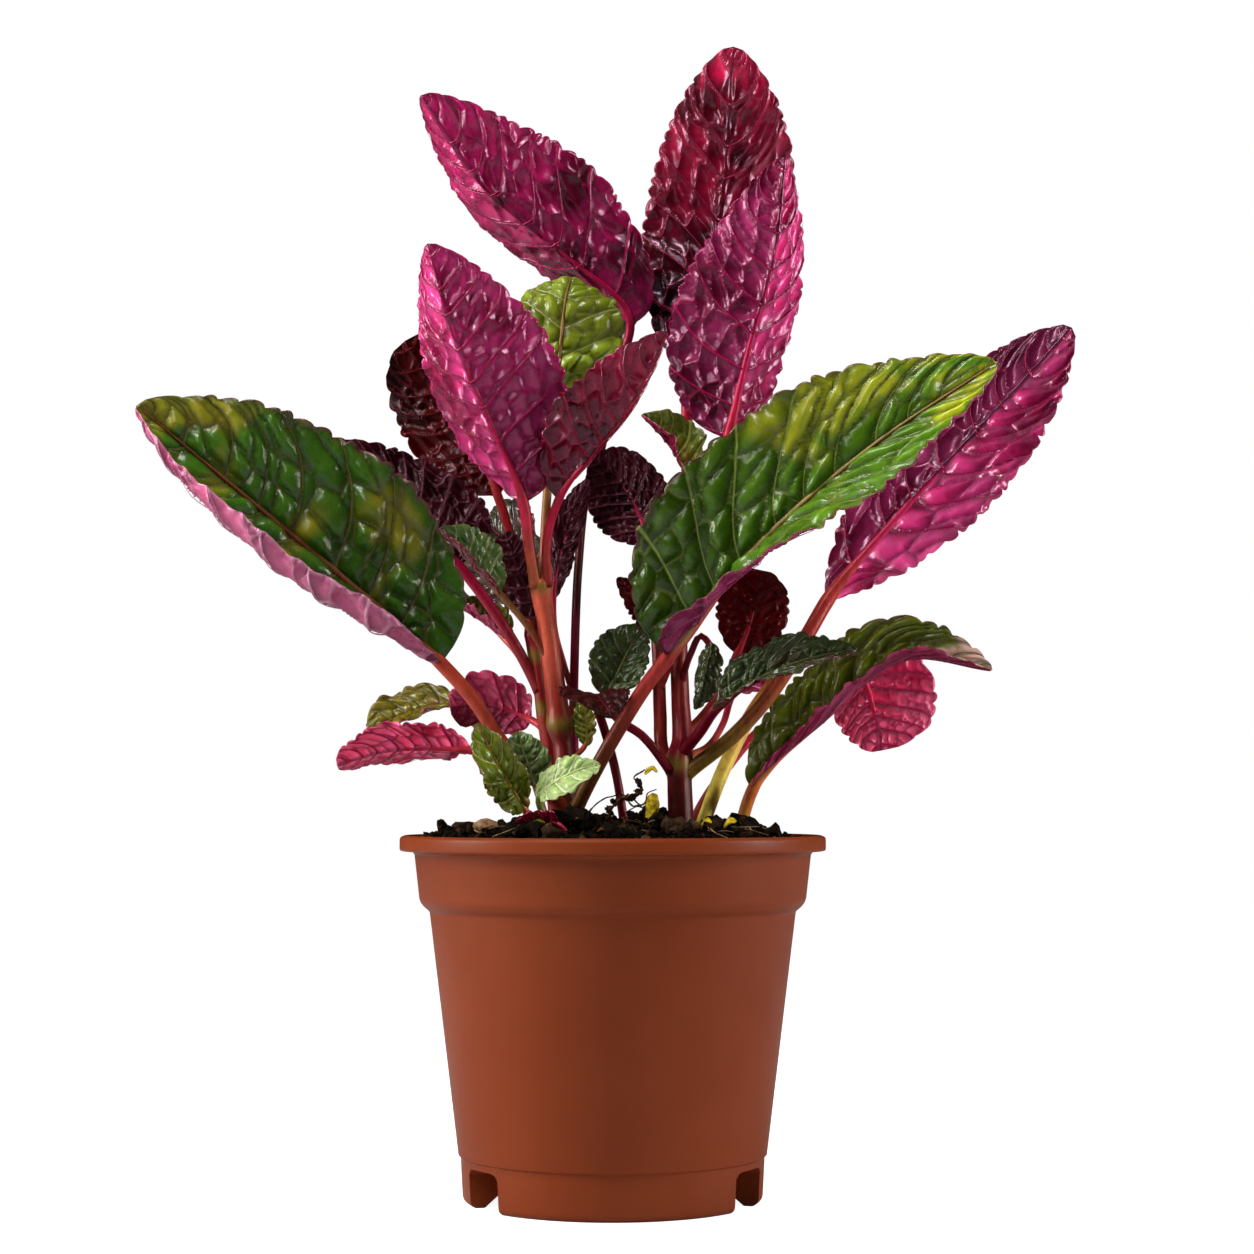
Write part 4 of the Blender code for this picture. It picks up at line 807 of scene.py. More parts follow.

# Points along a leaf's stalk and its blade. Half width, fold, curl and lift, the last three in degrees,
# are for its left and right halves, seen from above with the tip ahead. The face is where its upper side
# looks, or a pair for base and tip. Then come the height of its waves, the stalk's radius, the length of a
# scallop, how its ends taper, the power of its curl, and its tones and light: how bright it is painted at
# its base, at its tip and in its two halves, partly its own tone and partly painted light and shade.
Leaf = namedtuple("Leaf", "name grid look stalk blade half face fold curl wave radius scallop ends turn "
                          "lift tones", defaults=((0.62, 0.78), 1, (0, 0), (1, 1, 1, 1)))
LEAVES = (
    Leaf("leaf_top_left", LARGE, "magenta", ((-1.9, 18, 222.6), (1, 17, 236)),
         ((5, 14, 250), (-15, 9, 270), (-37, 2, 288), (-55, -8, 312)),
         (25, 22), ((0, 1, 0.2), (0.1, 1, 0.1)), (8, 62), (10, 5), 1.5, 1.2, 4.3,
         tones=(0.55, 1.2, 0.85, 1.15)),
    Leaf("leaf_top_centre", LARGE, "crimson", ((19.4, 11, 178), (21, 15, 190), (21.5, 18, 214)),
         ((22, 19, 238), (27, 21, 261), (32, 21, 288), (35, 9, 331)),
         (23, 23), ((0, 1, 0), (0, 1, 0.2)), (12, 14), (8, 8), 1.5, 1.6, 4.4, (0.62, 0.7),
         tones=(-0.8, 2.4, 1, 1)),
    Leaf("leaf_top_right", LARGE, "rose", ((21.3, 7.6, 176), (26, 6, 188), (30, 5, 202)),
         ((33, 4, 215), (39, 1, 241), (46, -3, 267), (49, -6, 295)),
         (19, 25), ((0, 1, 0), (0, 1, 0.1)), (50, 12), (10, 6), 1.5, 1.7, 4.3, (0.5, 0.78),
         tones=(0.5, 1.2, 1.6, 0.6)),
    Leaf("leaf_front_left", LARGE, "rose", ((-21.7, -4, 172), (-23.5, -8, 183)),
         ((-25, -12, 195), (-33, -20, 214), (-43, -28, 238), (-51, -30, 265)),
         (25, 18), (0, 1, 0.2), (6, 42), (10, 8), 1.4, 1.5, 4.4, (0.62, 0.8), tones=(0.8, 1.6, 0.6, 1.1)),
    Leaf("leaf_front_right", MEDIUM, "crimson", ((-18.2, -4, 172), (-18.6, -8, 184)),
         ((-15, -12, 196), (-6, -22, 207), (6, -36, 221), (15, -44, 238)),
         (16, 17), ((-0.2, 0.9, 0.4), (-0.3, 0.9, 0.3)), (62, 12), (10, 10), 1.2, 1.2, 4.2,
         tones=(0.3, 2.1, 1.2, 0.6)),
    Leaf("leaf_pale_curled", BROAD, "lime", ((-20, -1.6, 172), (-19, 3, 196)),
         ((-16.5, 5, 224), (-15, 2, 242), (-13.5, 3, 256), (-12, 10, 263)),
         (17, 18), ((0, -1, 0.2), (0, -1, 0.5)), (-8, -5), (-14, -14), 1.2, 1.2, 4.7, (0.62, 0.5)),
    Leaf("leaf_left_long", WIDE, "forest",
         ((-12.5, -3, 108), (-20, -7, 116), (-31, -10, 128), (-39, -12, 140)),
         ((-48, -13, 150), (-74, -17, 173), (-103, -22, 197), (-132, -24, 221)),
         (25, 32), (0, -0.75, 0.6), (-5, 28), (150, 6), 1.2, 1.9, 4.9, (0.5, 0.75), 2.5, lift=(35, 0),
         tones=(0.9, 1.7, 1.1, 1)),
    Leaf("leaf_left_dark", LARGE, "dusk", ((-21, 8.4, 143), (-28, 7, 156), (-36.5, 6.5, 169)),
         ((-44, 6, 178.5), (-57, 9, 191), (-70, 12.5, 204), (-83, 15, 216)),
         (20, 7), (-0.3, 0.9, 0.3), (15, 70), (10, 10), 1.2, 1.5, 4.2, (0.28, 0.78)),
    Leaf("leaf_left_small_green", SMALL, "jade", ((-17.2, -1, 150), (-25, -3, 162)),
         ((-32, -3, 170), (-38, -5, 176), (-44, -7, 183), (-49, -9, 188)),
         (7, 10), (0, -0.85, 0.5), (60, 5), (40, 6), 0.7, 0.9, 2.8),
    Leaf("leaf_left_red", MEDIUM, "wine", ((-23.8, 8.5, 159), (-25, 18, 169), (-29, 21, 185)),
         ((-34, 22, 201), (-42, 28, 218), (-52, 32, 234), (-62, 30, 248)),
         (16, 18), ((-0.2, 1, 0.2), (-0.2, 1, 0.3)), (15, 18), (8, 8), 1.4, 1.3, 5.2, (0.62, 0.5),
         tones=(0.3, 0.8, 1, 1)),
    Leaf("leaf_left_small_pink", SMALL, "olive", ((-20.4, 9, 139), (-25, 15, 150)),
         ((-31, 20, 158), (-37, 24, 163), (-43, 26, 167), (-48, 26, 171)),
         (7, 8), (0, -0.5, 0.85), (50, 15), (20, 10), 0.7, 1.0, 3.0),
    Leaf("leaf_dark_behind", SMALL, "dusk", ((-21.4, 8.4, 149), (-20, 9.5, 157)),
         ((-20.5, 9.5, 164), (-24, 9.5, 172), (-28, 9.5, 181), (-31, 10, 189)),
         (6, 10), (0, 1, 0), (15, 20), (10, 10), 0.8, 1.0, 3.0, (0.5, 0.55)),
    Leaf("leaf_narrow_dark", MEDIUM, "dusk", ((-11.2, 11, 141), (-14.5, 8, 152), (-16.6, 7, 160)),
         ((-17, 5, 169), (-15.5, 3, 180), (-12, 1, 192), (-7, -2, 203)),
         (7, 7), (0, 1, 0), (45, 35), (15, 10), 0.7, 0.8, 2.8),
    Leaf("leaf_middle_dark", MEDIUM, "dusk", ((11.8, 10, 171), (12.5, 12, 180)),
         ((10.5, 12, 186), (7, 13, 195), (1, 11.5, 204), (-6, 8, 210)),
         (13, 13), (0, 1, 0), (20, 15), (10, 10), 1.0, 1.1, 3.2, (0.5, 0.6)),
    Leaf("leaf_middle_narrow", SMALL, "olive", ((17.8, 7.3, 177), (18.6, 6.5, 190)),
         ((22, 7, 203), (18, 8, 211), (13, 6, 217), (8, 4, 222)),
         (8, 10), (0.2, -0.5, 0.8), (30, 60), (15, 15), 0.7, 0.9, 3.0),
    Leaf("leaf_right_long", LONG, "spring",
         ((-11.5, -4, 107), (-7, -9, 116), (2, -12.5, 132), (10, -14, 144.5)),
         ((15.5, -14.5, 151.5), (38, -22.5, 180), (70, -27, 208), (107, -24, 233)),
         (30, 20), (0, -0.75, 0.6), (28, -12), (6, 30), 1.4, 2.0, 4.9, (0.42, 0.78), lift=(0, 95),
         tones=(0.3, 1.6, 1, 1.4)),
    Leaf("leaf_far_right", LARGE, "olive_stalk",
         ((20, -4, 119), (33, -5.5, 129), (44, -6, 141), (55, -4, 158.5)),
         ((61, 0, 168.5), (79, 4, 190), (107, 9, 220), (133.5, 12, 249)),
         (20, 19), (0, 1, 0), (25, 20), (8, 8), 1.3, 2.0, 4.7, (0.8, 0.72), tones=(1.0, 0.7, 1.45, 0.5)),
    Leaf("leaf_right_small_red", SMALL, "wine", ((19.4, 0, 130), (25, 9, 135), (31, 15, 143)),
         ((36, 17, 154), (39, 16, 161), (41, 15, 169), (43, 12, 178)),
         (11, 11), (0, 1, 0), (12, 12), (8, 8), 0.9, 1.2, 3.3, (0.5, 0.5)),
    Leaf("leaf_right_arching", LARGE, "arching", ((36, 8, 95), (37, 8, 106)),
         ((40, 8, 115), (59, 6, 134), (83, 1, 152), (107, -8, 148)),
         (15, 6), ((-0.3, -0.8, 0.5), (0, -0.85, 0.5)), (12, 80), (6, 10), 1.2, 1.7, 4.7,
         tones=(0.9, 1.3, 1, 1)),
    Leaf("leaf_right_hanging", MEDIUM, "yellow_stalk",
         ((22, 4, 95), (33, 16, 123), (44, 25, 142), (57, 31, 155)),
         ((68, 34, 155), (74, 33, 147), (77, 31, 137), (79, 29, 126)),
         (12.5, 20), ((0.1, 1, 0.2), (0.1, 1, 0)), (12, 12), (8, 8), 1.0, 2.0, 4.2, (0.5, 0.5),
         tones=(1.3, 1.3, 1, 1)),
    Leaf("leaf_right_front", MEDIUM, "bronze", ((19.6, -4.5, 125), (24.5, -12, 131)),
         ((28.5, -19, 137), (37, -25, 143.5), (51, -29, 149.5), (67, -29, 153)),
         (9, 7), ((-0.2, -0.7, 0.7), (0, -0.7, 0.7)), (28, 15), (6, 12), 0.9, 1.5, 3.2, lift=(0, 30)),
    Leaf("leaf_middle_strip", SMALL, "wine", ((13.3, 3, 143), (16, 0, 150)),
         ((16, -3, 157), (12, -6, 163), (7, -9, 169), (1, -10, 174)),
         (6, 6), (0, 1, 0), (35, 25), (10, 10), 0.5, 0.8, 3.0),
    Leaf("leaf_middle_drooping", SMALL, "bronze", ((19.2, 4, 144), (22, -1, 153), (25, -3, 158)),
         ((27, -4, 156), (26, -6, 149), (25, -6, 143), (23, -6, 137)),
         (5, 5), (0.3, -1, 0), (10, 40), (10, 10), 0.5, 0.9, 2.8),
    Leaf("leaf_shoot_upright", SMALL, "bronze", ((16.2, -5.6, 120), (8, -6.5, 130), (1, -4, 135)),
         ((-1.5, -1, 141), (1.5, 0, 148), (5, 1, 155), (9, 2, 161.5)),
         (10, 8), (0, -1, 0.3), (18, 18), (8, 8), 0.6, 1.2, 2.6),
    Leaf("leaf_shoot_forward", SMALL, "umber", ((4, 4, 95), (3, 4, 106), (0.5, 3, 121), (-2.5, 0, 132)),
         ((-4.5, -5, 138), (-4.5, -13, 141), (-3, -21, 139), (0, -28, 134)),
         (9, 11), ((0, -0.3, 1), (0, -0.2, 1)), (12, 12), (-8, -8), 0.8, 1.2, 2.8),
    Leaf("leaf_shoot_olive", SMALL, "olive", ((-13.8, 0, 122), (-11, 1.5, 124)),
         ((-8, 2, 127), (-7.5, 2, 132), (-8, 2, 137), (-9, 2, 142)),
         (4, 3), (0, -1, 0), (15, 15), (5, 5), 0.4, 0.7, 2.5),
    Leaf("leaf_low_left", MEDIUM, "blush", ((-16.5, 11, 116), (-28, 11, 122.5)),
         ((-41, 10, 126), (-54, 11, 126.5), (-67, 10, 125.5), (-79, 7, 121.5)),
         (8, 9), (0, 0.8, 0.6), (30, 25), (10, 10), 0.9, 1.2, 3.2, (0.5, 0.5), tones=(2.2, 1.9, 1, 1)),
    Leaf("leaf_low_left_olive", SMALL, "gold", ((-18.6, 11, 124), (-30, 27, 132)),
         ((-46, 33, 140), (-55, 36, 139), (-64, 37, 136), (-73, 36, 132)),
         (10, 9), (0, -0.6, 0.8), (20, 20), (8, 8), 0.8, 1.1, 3.9, (0.5, 0.45)),
    Leaf("leaf_low_left_pink", SMALL, "blush", ((-19, 9.5, 130), (-21, 14, 133)),
         ((-24, 17, 135), (-31, 18.5, 138), (-39, 19, 139.5), (-47.5, 18, 138.5)),
         (10, 10), (0, 0.9, 0.4), (12, 12), (8, 8), 0.8, 1.0, 3.9, (0.5, 0.45)),
    Leaf("leaf_low_front_green", SMALL, "olive", ((-18, -13, 95), (-21, -17, 104)),
         ((-24, -20, 109), (-28, -25, 116), (-33, -28, 125), (-37, -27, 133)),
         (9, 6), (0.2, -0.9, 0.3), (25, 25), (8, 8), 0.8, 1.0, 2.8),
    Leaf("leaf_low_front_crinkled", SMALL, "jade", ((-16.5, -8.5, 95), (-19, -10.5, 108)),
         ((-21.5, -13, 116), (-23, -14.5, 121), (-25, -15, 126), (-26, -14, 131)),
         (7, 7), (0, -1, 0.2), (20, 20), (8, 8), 0.6, 0.9, 2.5),
    Leaf("leaf_low_front_pale", SMALL, "pale", ((-14, -19, 95), (-17.5, -23, 105)),
         ((-20, -27, 112.5), (-15, -32, 117), (-9, -34, 120), (-3, -33, 121.5)),
         (5.5, 7), (0.2, -0.8, 0.6), (10, 12), (5, 5), 0.5, 0.9, 3.0),
    Leaf("leaf_low_front_tiny", SMALL, "crimson", ((-10, -27, 95), (-12.5, -30, 103)),
         ((-15, -33, 105.5), (-18, -35, 106.5), (-22, -36, 106.5), (-26, -36, 106)),
         (3.5, 3), (0, 0.6, 0.8), (10, 10), (5, 5), 0.3, 0.7, 2.3),
    Leaf("leaf_right_behind", SMALL, "rose", ((20.5, -1, 124), (27, 10, 127), (32, 22, 134)),
         ((36, 29, 144), (41, 30, 149), (46, 30, 154), (51, 29, 159)),
         (7, 7), (-0.4, 1, 0), (12, 12), (8, 8), 0.6, 0.9, 3.2),
    Leaf("leaf_back_left", MEDIUM, "magenta", ((-23, 9, 156), (-23, 18, 163)),
         ((-24, 26, 170), (-28, 37, 182), (-34, 47, 191), (-40, 56, 197)),
         (16, 16), (-0.8, -0.3, 0.6), (18, 18), (8, 8), 1.4, 1.4, 4.2),
    Leaf("leaf_back_right", MEDIUM, "forest", ((19.3, 9.4, 168), (28, 21, 178)),
         ((36, 30, 187), (52, 36, 202), (70, 41, 217), (88, 43, 228)),
         (20, 20), ((-0.3, -0.5, 0.8), (-0.3, -0.3, 0.9)), (18, 18), (8, 8), 1.4, 1.5, 4.4),
    Leaf("leaf_back_top", MEDIUM, "crimson", ((-4.8, 17.6, 208), (-1.5, 26, 224)),
         ((2, 32, 246), (0, 41, 263), (-5, 48, 279), (-11, 54, 292)),
         (10, 11), (-0.3, -0.8, 0.5), (18, 18), (8, 8), 1.2, 1.1, 3.9),
    Leaf("leaf_back_middle", MEDIUM, "forest", ((18.6, 7.5, 162), (18, 15, 166)),
         ((17, 22, 171), (18, 34, 181), (20, 46, 190), (23, 55, 195)),
         (11, 12), (-0.4, -0.6, 0.7), (18, 18), (8, 8), 1.1, 1.2, 3.9),
    Leaf("leaf_back_low_right", MEDIUM, "magenta",
         ((20, 23, 95), (23.6, 24, 106), (34, 27, 122), (43, 32, 132)),
         ((51, 37, 137), (61, 47, 140), (72, 53, 143), (83, 57, 144)),
         (9, 7), (-0.2, -0.3, 0.93), (18, 18), (8, 8), 1.0, 1.3, 3.9),
)


def blade_width(u, ends):
    """Half width of a blade along its length: a power of the distance from each end, the lower the fuller
    that end, scaled to 1 where it is widest."""
    base, tip = ends
    widest = base / (base + tip)
    return (u / widest)**base * ((1 - u) / (1 - widest))**tip


def cross_arc(start, curl, v, turn):
    """Way out and way up of a section whose slope is start + curl * v**turn, by sums at Gauss places."""
    spots = v[..., None] * (ARC_PLACES + 1) / 2
    slope = start[..., None] + curl[..., None] * spots**turn
    return v * (np.cos(slope) @ ARC_WEIGHTS) / 2, v * (np.sin(slope) @ ARC_WEIGHTS) / 2


def forward_reach(w):
    """How much further along the leaf a side vein has come at that place across, nearly in a line."""
    return CREASE * (0.75 * np.abs(w) + 0.25 * w**2)


class Blade:
    """A leaf's path and the formulas of its blade."""

    def __init__(self, leaf, seed):
        self.leaf = leaf
        self.seed = seed
        self.position, self.tangent, self.run, knots = smooth_curve(leaf.stalk + leaf.blade)
        self.base = knots[len(leaf.stalk)]
        self.reach = self.run[-1] - self.base
        self.veins = leaf.grid.veins + 0.5
        self.spacing = 0.85 * self.reach / self.veins
        self.cell = CELL * self.spacing
        dice = np.random.default_rng(seed)
        self.phase = dice.uniform(0, math.tau, 4)
        self.spots = dice.uniform((0.08, 0.08, 0.5), (0.92, 0.92, 1.5), (2, 40, 40, 3))

    def frame(self, distance):
        """Centre of the leaf's path there, its direction, its upper side and the direction across it."""
        centre = along(self.run, self.position, distance)
        forward = unit(along(self.run, self.tangent, distance))
        share = np.clip((distance - self.base) / self.reach, 0, 1)[..., None]
        first, last = np.broadcast_to(self.leaf.face, (2, 3))
        upper = (1 - share) * first + share * last
        upper = unit(upper - np.sum(upper * forward, axis=-1, keepdims=True) * forward)
        return centre, forward, upper, np.cross(forward, upper)

    def sway(self, w):
        """How far a side vein strays along the leaf at that place across."""
        phase = np.where(w < 0, self.phase[0], self.phase[1])
        return SWAY * np.sin(5.0 * np.abs(w) + phase)

    def vein_number(self, q):
        """Side veins counted from the base by where they leave the midrib, spaced a little unevenly."""
        return self.veins * q + 0.1 * np.sin(2.1 * self.veins * q + self.phase[2])

    def from_midrib(self, u, w):
        """Where along the midrib the side vein through that point starts: the root q of
        u = q + bend * q * (1 - q), with the vein's forward reach there as the bend."""
        bend = forward_reach(w) + 1e-6
        u = np.clip(u - 4 * self.sway(w) * u * (1 - u), 0, 1)
        return ((1 + bend) - np.sqrt((1 + bend)**2 - 4 * bend * u)) / (2 * bend)

    def along_vein(self, q, w):
        """The reverse: how far along the leaf a side vein has come at that place across."""
        u = q + forward_reach(w) * q * (1 - q)
        return u + 4 * self.sway(w) * u * (1 - u)

    def cells(self, number, arc, left):
        """Height of the cell that holds each point, and how deep in it the point lies. A cell is the
        ground nearer to its own scattered spot than to the others, and the depth is the second nearest
        distance less the nearest, so it is 0 at the cell's edge."""
        along_cells, across_cells = CELLS_ALONG * number, arc / self.cell
        row, column = np.floor(along_cells).astype(int), np.floor(across_cells).astype(int)
        nearest, second, height = 9 + 0 * arc, 9 + 0 * arc, 0 * arc
        for step in np.ndindex(3, 3):
            i, j = row + step[0] - 1, column + step[1] - 1
            spot = self.spots[left.astype(int), i + 1, j + 1]
            distance = np.hypot(i + spot[..., 0] - along_cells, j + spot[..., 1] - across_cells)
            closer = distance < nearest
            second = np.where(closer, nearest, np.minimum(second, distance))
            height = np.where(closer, spot[..., 2], height)
            nearest = np.where(closer, distance, nearest)
        return height, second - nearest

    def surface(self, u, w):
        """Middle of the blade's thickness, its upward direction, and the waffle coordinates: the vein
        number, the depth in the cell and the height of the swelling, which rises from the cell's edge by
        1 - (1 - depth / CELL_RIM)**2."""
        leaf = self.leaf
        centre, _, upper, side = self.frame(self.base + u * self.reach)
        v, sign, left = np.abs(w), np.where(w < 0, -1.0, 1.0), w < 0
        half = np.where(left, *leaf.half)
        fold = np.radians(np.where(left, *leaf.fold))
        curl = np.radians(np.where(left, *leaf.curl))
        lift = np.radians(np.where(left, *leaf.lift))
        shape = blade_width(np.clip(u, 1e-6, 1 - 1e-6), leaf.ends)
        edge = u * self.reach / leaf.scallop
        edge = edge + 0.22 * np.sin(1.7 * edge + self.phase[0] + sign)
        width = half * shape
        fade = np.minimum(1, 1.7 * shape)
        lobe = np.abs(np.sin(math.pi * edge))**0.5 - SCALLOP_LEVEL
        width = width + SCALLOP_DEPTH * leaf.scallop * lobe * fade * v**5
        width = np.maximum(width, leaf.radius * (1 - u))
        start = fold + lift * (1 - u)**2
        end = start + curl * v**leaf.turn
        out, rise = cross_arc(start, curl, v, leaf.turn)
        out, rise = width * out, width * rise
        rise = rise + leaf.wave * v**2 * np.sin(math.tau * WAVES * u + 2 * sign) * shape
        rise = rise + RUFFLE * leaf.scallop * np.sin(math.pi * edge + self.phase[3]) * fade * v**4
        normal = np.cos(end)[..., None] * upper - (np.sin(end) * sign)[..., None] * side

        number = self.vein_number(self.from_midrib(u, w))
        arc = v * width
        flat = np.stack([u * self.reach, sign * arc, 0 * u + 7.0 * self.seed], axis=-1)
        dome, depth = self.cells(number + 0.12 * grain(flat, 5.0, 1), arc, left)
        pillow = 1 - (1 - np.clip(depth / CELL_RIM, 0, 1))**2
        between = np.abs(np.sin(math.pi * number))**0.5 * np.tanh(arc / (0.1 * self.spacing + 0.2))
        folds = 1 - 1.6 * np.abs(grain(flat, 0.22 * self.spacing, 2))
        swell = between * (0.2 + 0.8 * pillow * dome)
        tall = PUFF * self.spacing * shape**0.6
        wrinkles = WRINKLE * (half * self.spacing)**0.5 * folds * between
        height = tall * (swell * (1 - 0.3 * v**4) - 0.4) + wrinkles
        middle = centre + (sign * out)[..., None] * side + rise[..., None] * upper
        return middle + height[..., None] * normal, normal, number, depth, swell


def grid_faces(rows, columns):
    """Faces of a thin closed shell: the upper grid, the lower grid turned over, both margins, the foot's
    end and fans to the tip. With them comes 1 for each face that isn't on the upper side. The lower grid's
    points follow the upper one's, and the tip is last."""
    count = rows * columns
    row, column = np.meshgrid(np.arange(rows - 1), np.arange(columns - 1), indexing="ij")
    a = (row * columns + column).ravel()
    top = np.stack([a, a + 1, a + columns + 1, a + columns], axis=1)
    below = top[:, ::-1] + count
    r = np.arange(rows - 1) * columns
    s = r + columns - 1
    left = np.stack([r, r + columns, r + columns + count, r + count], axis=1)
    right = np.stack([s, s + count, s + columns + count, s + columns], axis=1)
    c = np.arange(columns - 1)
    foot = np.stack([c, c + count, c + 1 + count, c + 1], axis=1)
    last = (rows - 1) * columns + c
    tip = np.full(len(c), 2 * count)
    fan_top = np.stack([last, last + 1, tip], axis=1)
    fan_below = np.stack([last + 1 + count, last + count, tip], axis=1)
    end, first = rows * columns - 1, (rows - 1) * columns
    sides = np.array([[end, end + count, 2 * count], [first + count, first, 2 * count]])
    faces = [np.concatenate([top, below, left, right, foot]), np.concatenate([fan_top, fan_below, sides])]
    is_under = np.ones(len(faces[0]) + len(faces[1]))
    is_under[:len(top)] = 0
    is_under[len(faces[0]):len(faces[0]) + len(fan_top)] = 0
    return faces, is_under


def blade_part(blade, look):
    """The blade as a closed shell, thinner at its margin: points, faces, which faces aren't on the upper
    side, colours, vein colours and waffle coordinates. The colours carry painted shade, darker where the
    swelling is low in the creases, and painted light and shade from the leaf's tones and light."""
    rows, columns = blade.leaf.grid.rows, blade.leaf.grid.columns
    u, w = np.meshgrid(np.linspace(0, LAST_ROW, rows + 1), np.linspace(-1, 1, 2 * columns + 1),
                       indexing="ij")
    middle, normal, number, depth, swell = blade.surface(u, w)
    thick = BLADE / 2 * (1 - 0.5 * np.abs(w)**8)[..., None]
    tip = blade.frame(np.array(blade.base + TIP_PLACE * blade.reach))[0]
    sides = [(middle + way * thick * normal).reshape(-1, 3) for way in (1, -1)]
    points = np.concatenate([*sides, tip[None]])
    v = np.abs(w)
    flat = np.stack([u * blade.reach, w * 20, 0 * u + 9.0 * blade.seed], axis=-1)
    patches = smooth_step(-0.1, 0.6, grain(flat, 13.0, 2) + 0.35 * grain(flat, 4.0, 3)
                          + look.lean[0] * u + look.lean[1])
    rim = smooth_step(0.955, 0.985, v)
    # Painted light and shade: the tones and light brighten or darken the colour along the leaf and in each
    # half.
    at_base, at_tip, at_left, at_right = blade.leaf.tones
    tone_and_light = np.maximum(DARKEST_TONE_AND_LIGHT, at_base + (at_tip - at_base) * u) * np.where(w < 0, at_left, at_right)
    # Painted shade: the colour is darker where the swelling is low, in the creases between swellings; fine
    # noise also mottles it at random.
    crease_shade = 0.35 + 0.82 * smooth_step(0.0, 0.8, swell)
    mottle_and_shade = ((1 + 0.15 * grain(flat, 2.5, 4)) * crease_shade * tone_and_light)[..., None]
    upper = blend_colours(dye(*look.upper), dye(*look.patch), patches) * mottle_and_shade
    upper = blend_colours(upper, dye(*look.shade), 0.7 * rim)
    under = blend_colours(dye(*look.under), dye(*look.shade), patches) * mottle_and_shade
    under = blend_colours(under, dye(*look.under_vein), 0.4 * rim)
    tint = np.concatenate([upper.reshape(-1, 4), under.reshape(-1, 4), upper[-1, columns][None]])
    upper_vein, under_vein = dye(*look.upper_vein), dye(*look.under_vein)
    veins = np.concatenate([np.tile(upper_vein, (u.size, 1)), np.tile(under_vein, (u.size, 1)),
                            [upper_vein]])
    weave = np.stack([number, depth * blade.cell, 0 * u + blade.spacing], axis=-1).reshape(-1, 3)
    weave = np.concatenate([weave, weave, weave[-1:]])
    return points, *grid_faces(*u.shape), tint, veins, weave


def rib_parts(blade, look):
    """Stalk and midrib as one tapering rod, sunk into the blade so that its top shows as a fine line, and
    each side vein as a thin rod under the blade. Each rod is its points, faces and colours."""
    leaf = blade.leaf
    stalk_length = blade.base
    stalk_rings = max(8, round(stalk_length / STALK_STEP))
    places = np.concatenate([np.linspace(0, stalk_length, stalk_rings, endpoint=False),
                             stalk_length + blade.reach * np.linspace(0, 0.97, leaf.grid.rows // 3)])
    centre, _, upper, _ = blade.frame(places)
    u = np.clip((places - stalk_length) / blade.reach, 0, 1)
    flare = 1 + 0.3 * np.exp(-places / 2.5)
    radius = leaf.radius * flare * (0.5 + 0.5 * np.exp(-u / 0.12)) * (1 - u)**0.75 + 0.08
    sunk = (radius - 0.42) * smooth_step(0, 0.1, u)
    points, faces, ring, angle = tube(centre - sunk[:, None] * upper, radius, upper, STALK_SIDES)
    on_stalk = np.clip(places / stalk_length, 0, 1)
    colour = blend_colours(dye(*look.stalk_foot), dye(*look.stalk_head), smooth_step(0.1, 0.95, on_stalk))
    colour = blend_colours(colour, dye(*look.rib), smooth_step(0.0, 0.25, u))[ring]
    streak = smooth_step(0.0, 0.6, grain(points * (0.3, 1, 0.3), 1.4, 9))
    streak = streak * (1 - smooth_step(0.0, 0.2, u))[ring]
    colour = blend_colours(colour, dye(*CRIMSON), 0.35 * streak)
    top_side = smooth_step(0.2, 0.8, np.sin(angle)) * smooth_step(0.0, 0.06, u)[ring]
    colour = blend_colours(colour, dye(*look.rib_top), top_side)
    made = [(points, faces, colour)]
    first_q = np.linspace(0, 1, 400)
    numbers = blade.vein_number(0.9 * first_q)
    thickness = 0.1 + 0.008 * max(leaf.half)
    reach_out = np.linspace(0.0, 0.93, 13)
    for number in range(1, int(numbers[-1]) + 1):
        q = 0.9 * np.interp(number, numbers, first_q)
        for way in (-1, 1):
            w = way * reach_out
            middle, normal, _, _, _ = blade.surface(blade.along_vein(q, w), w)
            slim = thickness * (1 - 0.8 * reach_out) * (1 - 0.4 * q)
            centres = middle - normal * (BLADE / 2 - 0.1 * slim[:, None])
            points, faces, _, _ = tube(centres, slim, normal, VEIN_SIDES)
            made.append((points, faces, np.tile(dye(*look.under_vein), (len(points), 1))))
    return made


def leaf_material(name, gloss, sheen, tint, standing):
    """Puckered leaf skin: the painted colour, with thin lines along the side veins and fainter ones round
    the cells from the waffle coordinates, and a fine grain. The gloss is its lowest roughness and the
    sheen how much it mirrors, in that tint. Standing is 1 where the lines stand out, -1 where they are
    sunk."""
    material, tree, shader, place = new_material(name)
    weave = attribute(tree, "weave", "Vector")
    number, depth, spacing = (add(tree, "SeparateXYZ", {0: weave}, axis) for axis in range(3))

    def line(distance, near, far):
        """1 up to the near distance in mm, falling to 0 at the far one."""
        return spread(tree, distance, 1.0, 0.0, near, far, interpolation_type="SMOOTHSTEP")

    to_vein = math_node(tree, "MULTIPLY", math_node(tree, "PINGPONG", number, 0.5), spacing)
    faint = math_node(tree, "MULTIPLY", line(depth, 0.1, 0.85), 0.5)
    lines = math_node(tree, "MAXIMUM", line(to_vein, 0.1, 0.42), faint)
    fine = noise(tree, place, 700.0, 3.0)
    relief = math_node(tree, "MULTIPLY_ADD", fine, 0.22, math_node(tree, "MULTIPLY", lines, standing))
    colour = mix(tree, lines, attribute(tree, "tint"), attribute(tree, "vein_tint"))
    coat(shader, colour, spread(tree, fine, gloss, gloss + 0.14), sheen,
         bump(tree, relief, 0.6, 0.0003), tint)
    return material


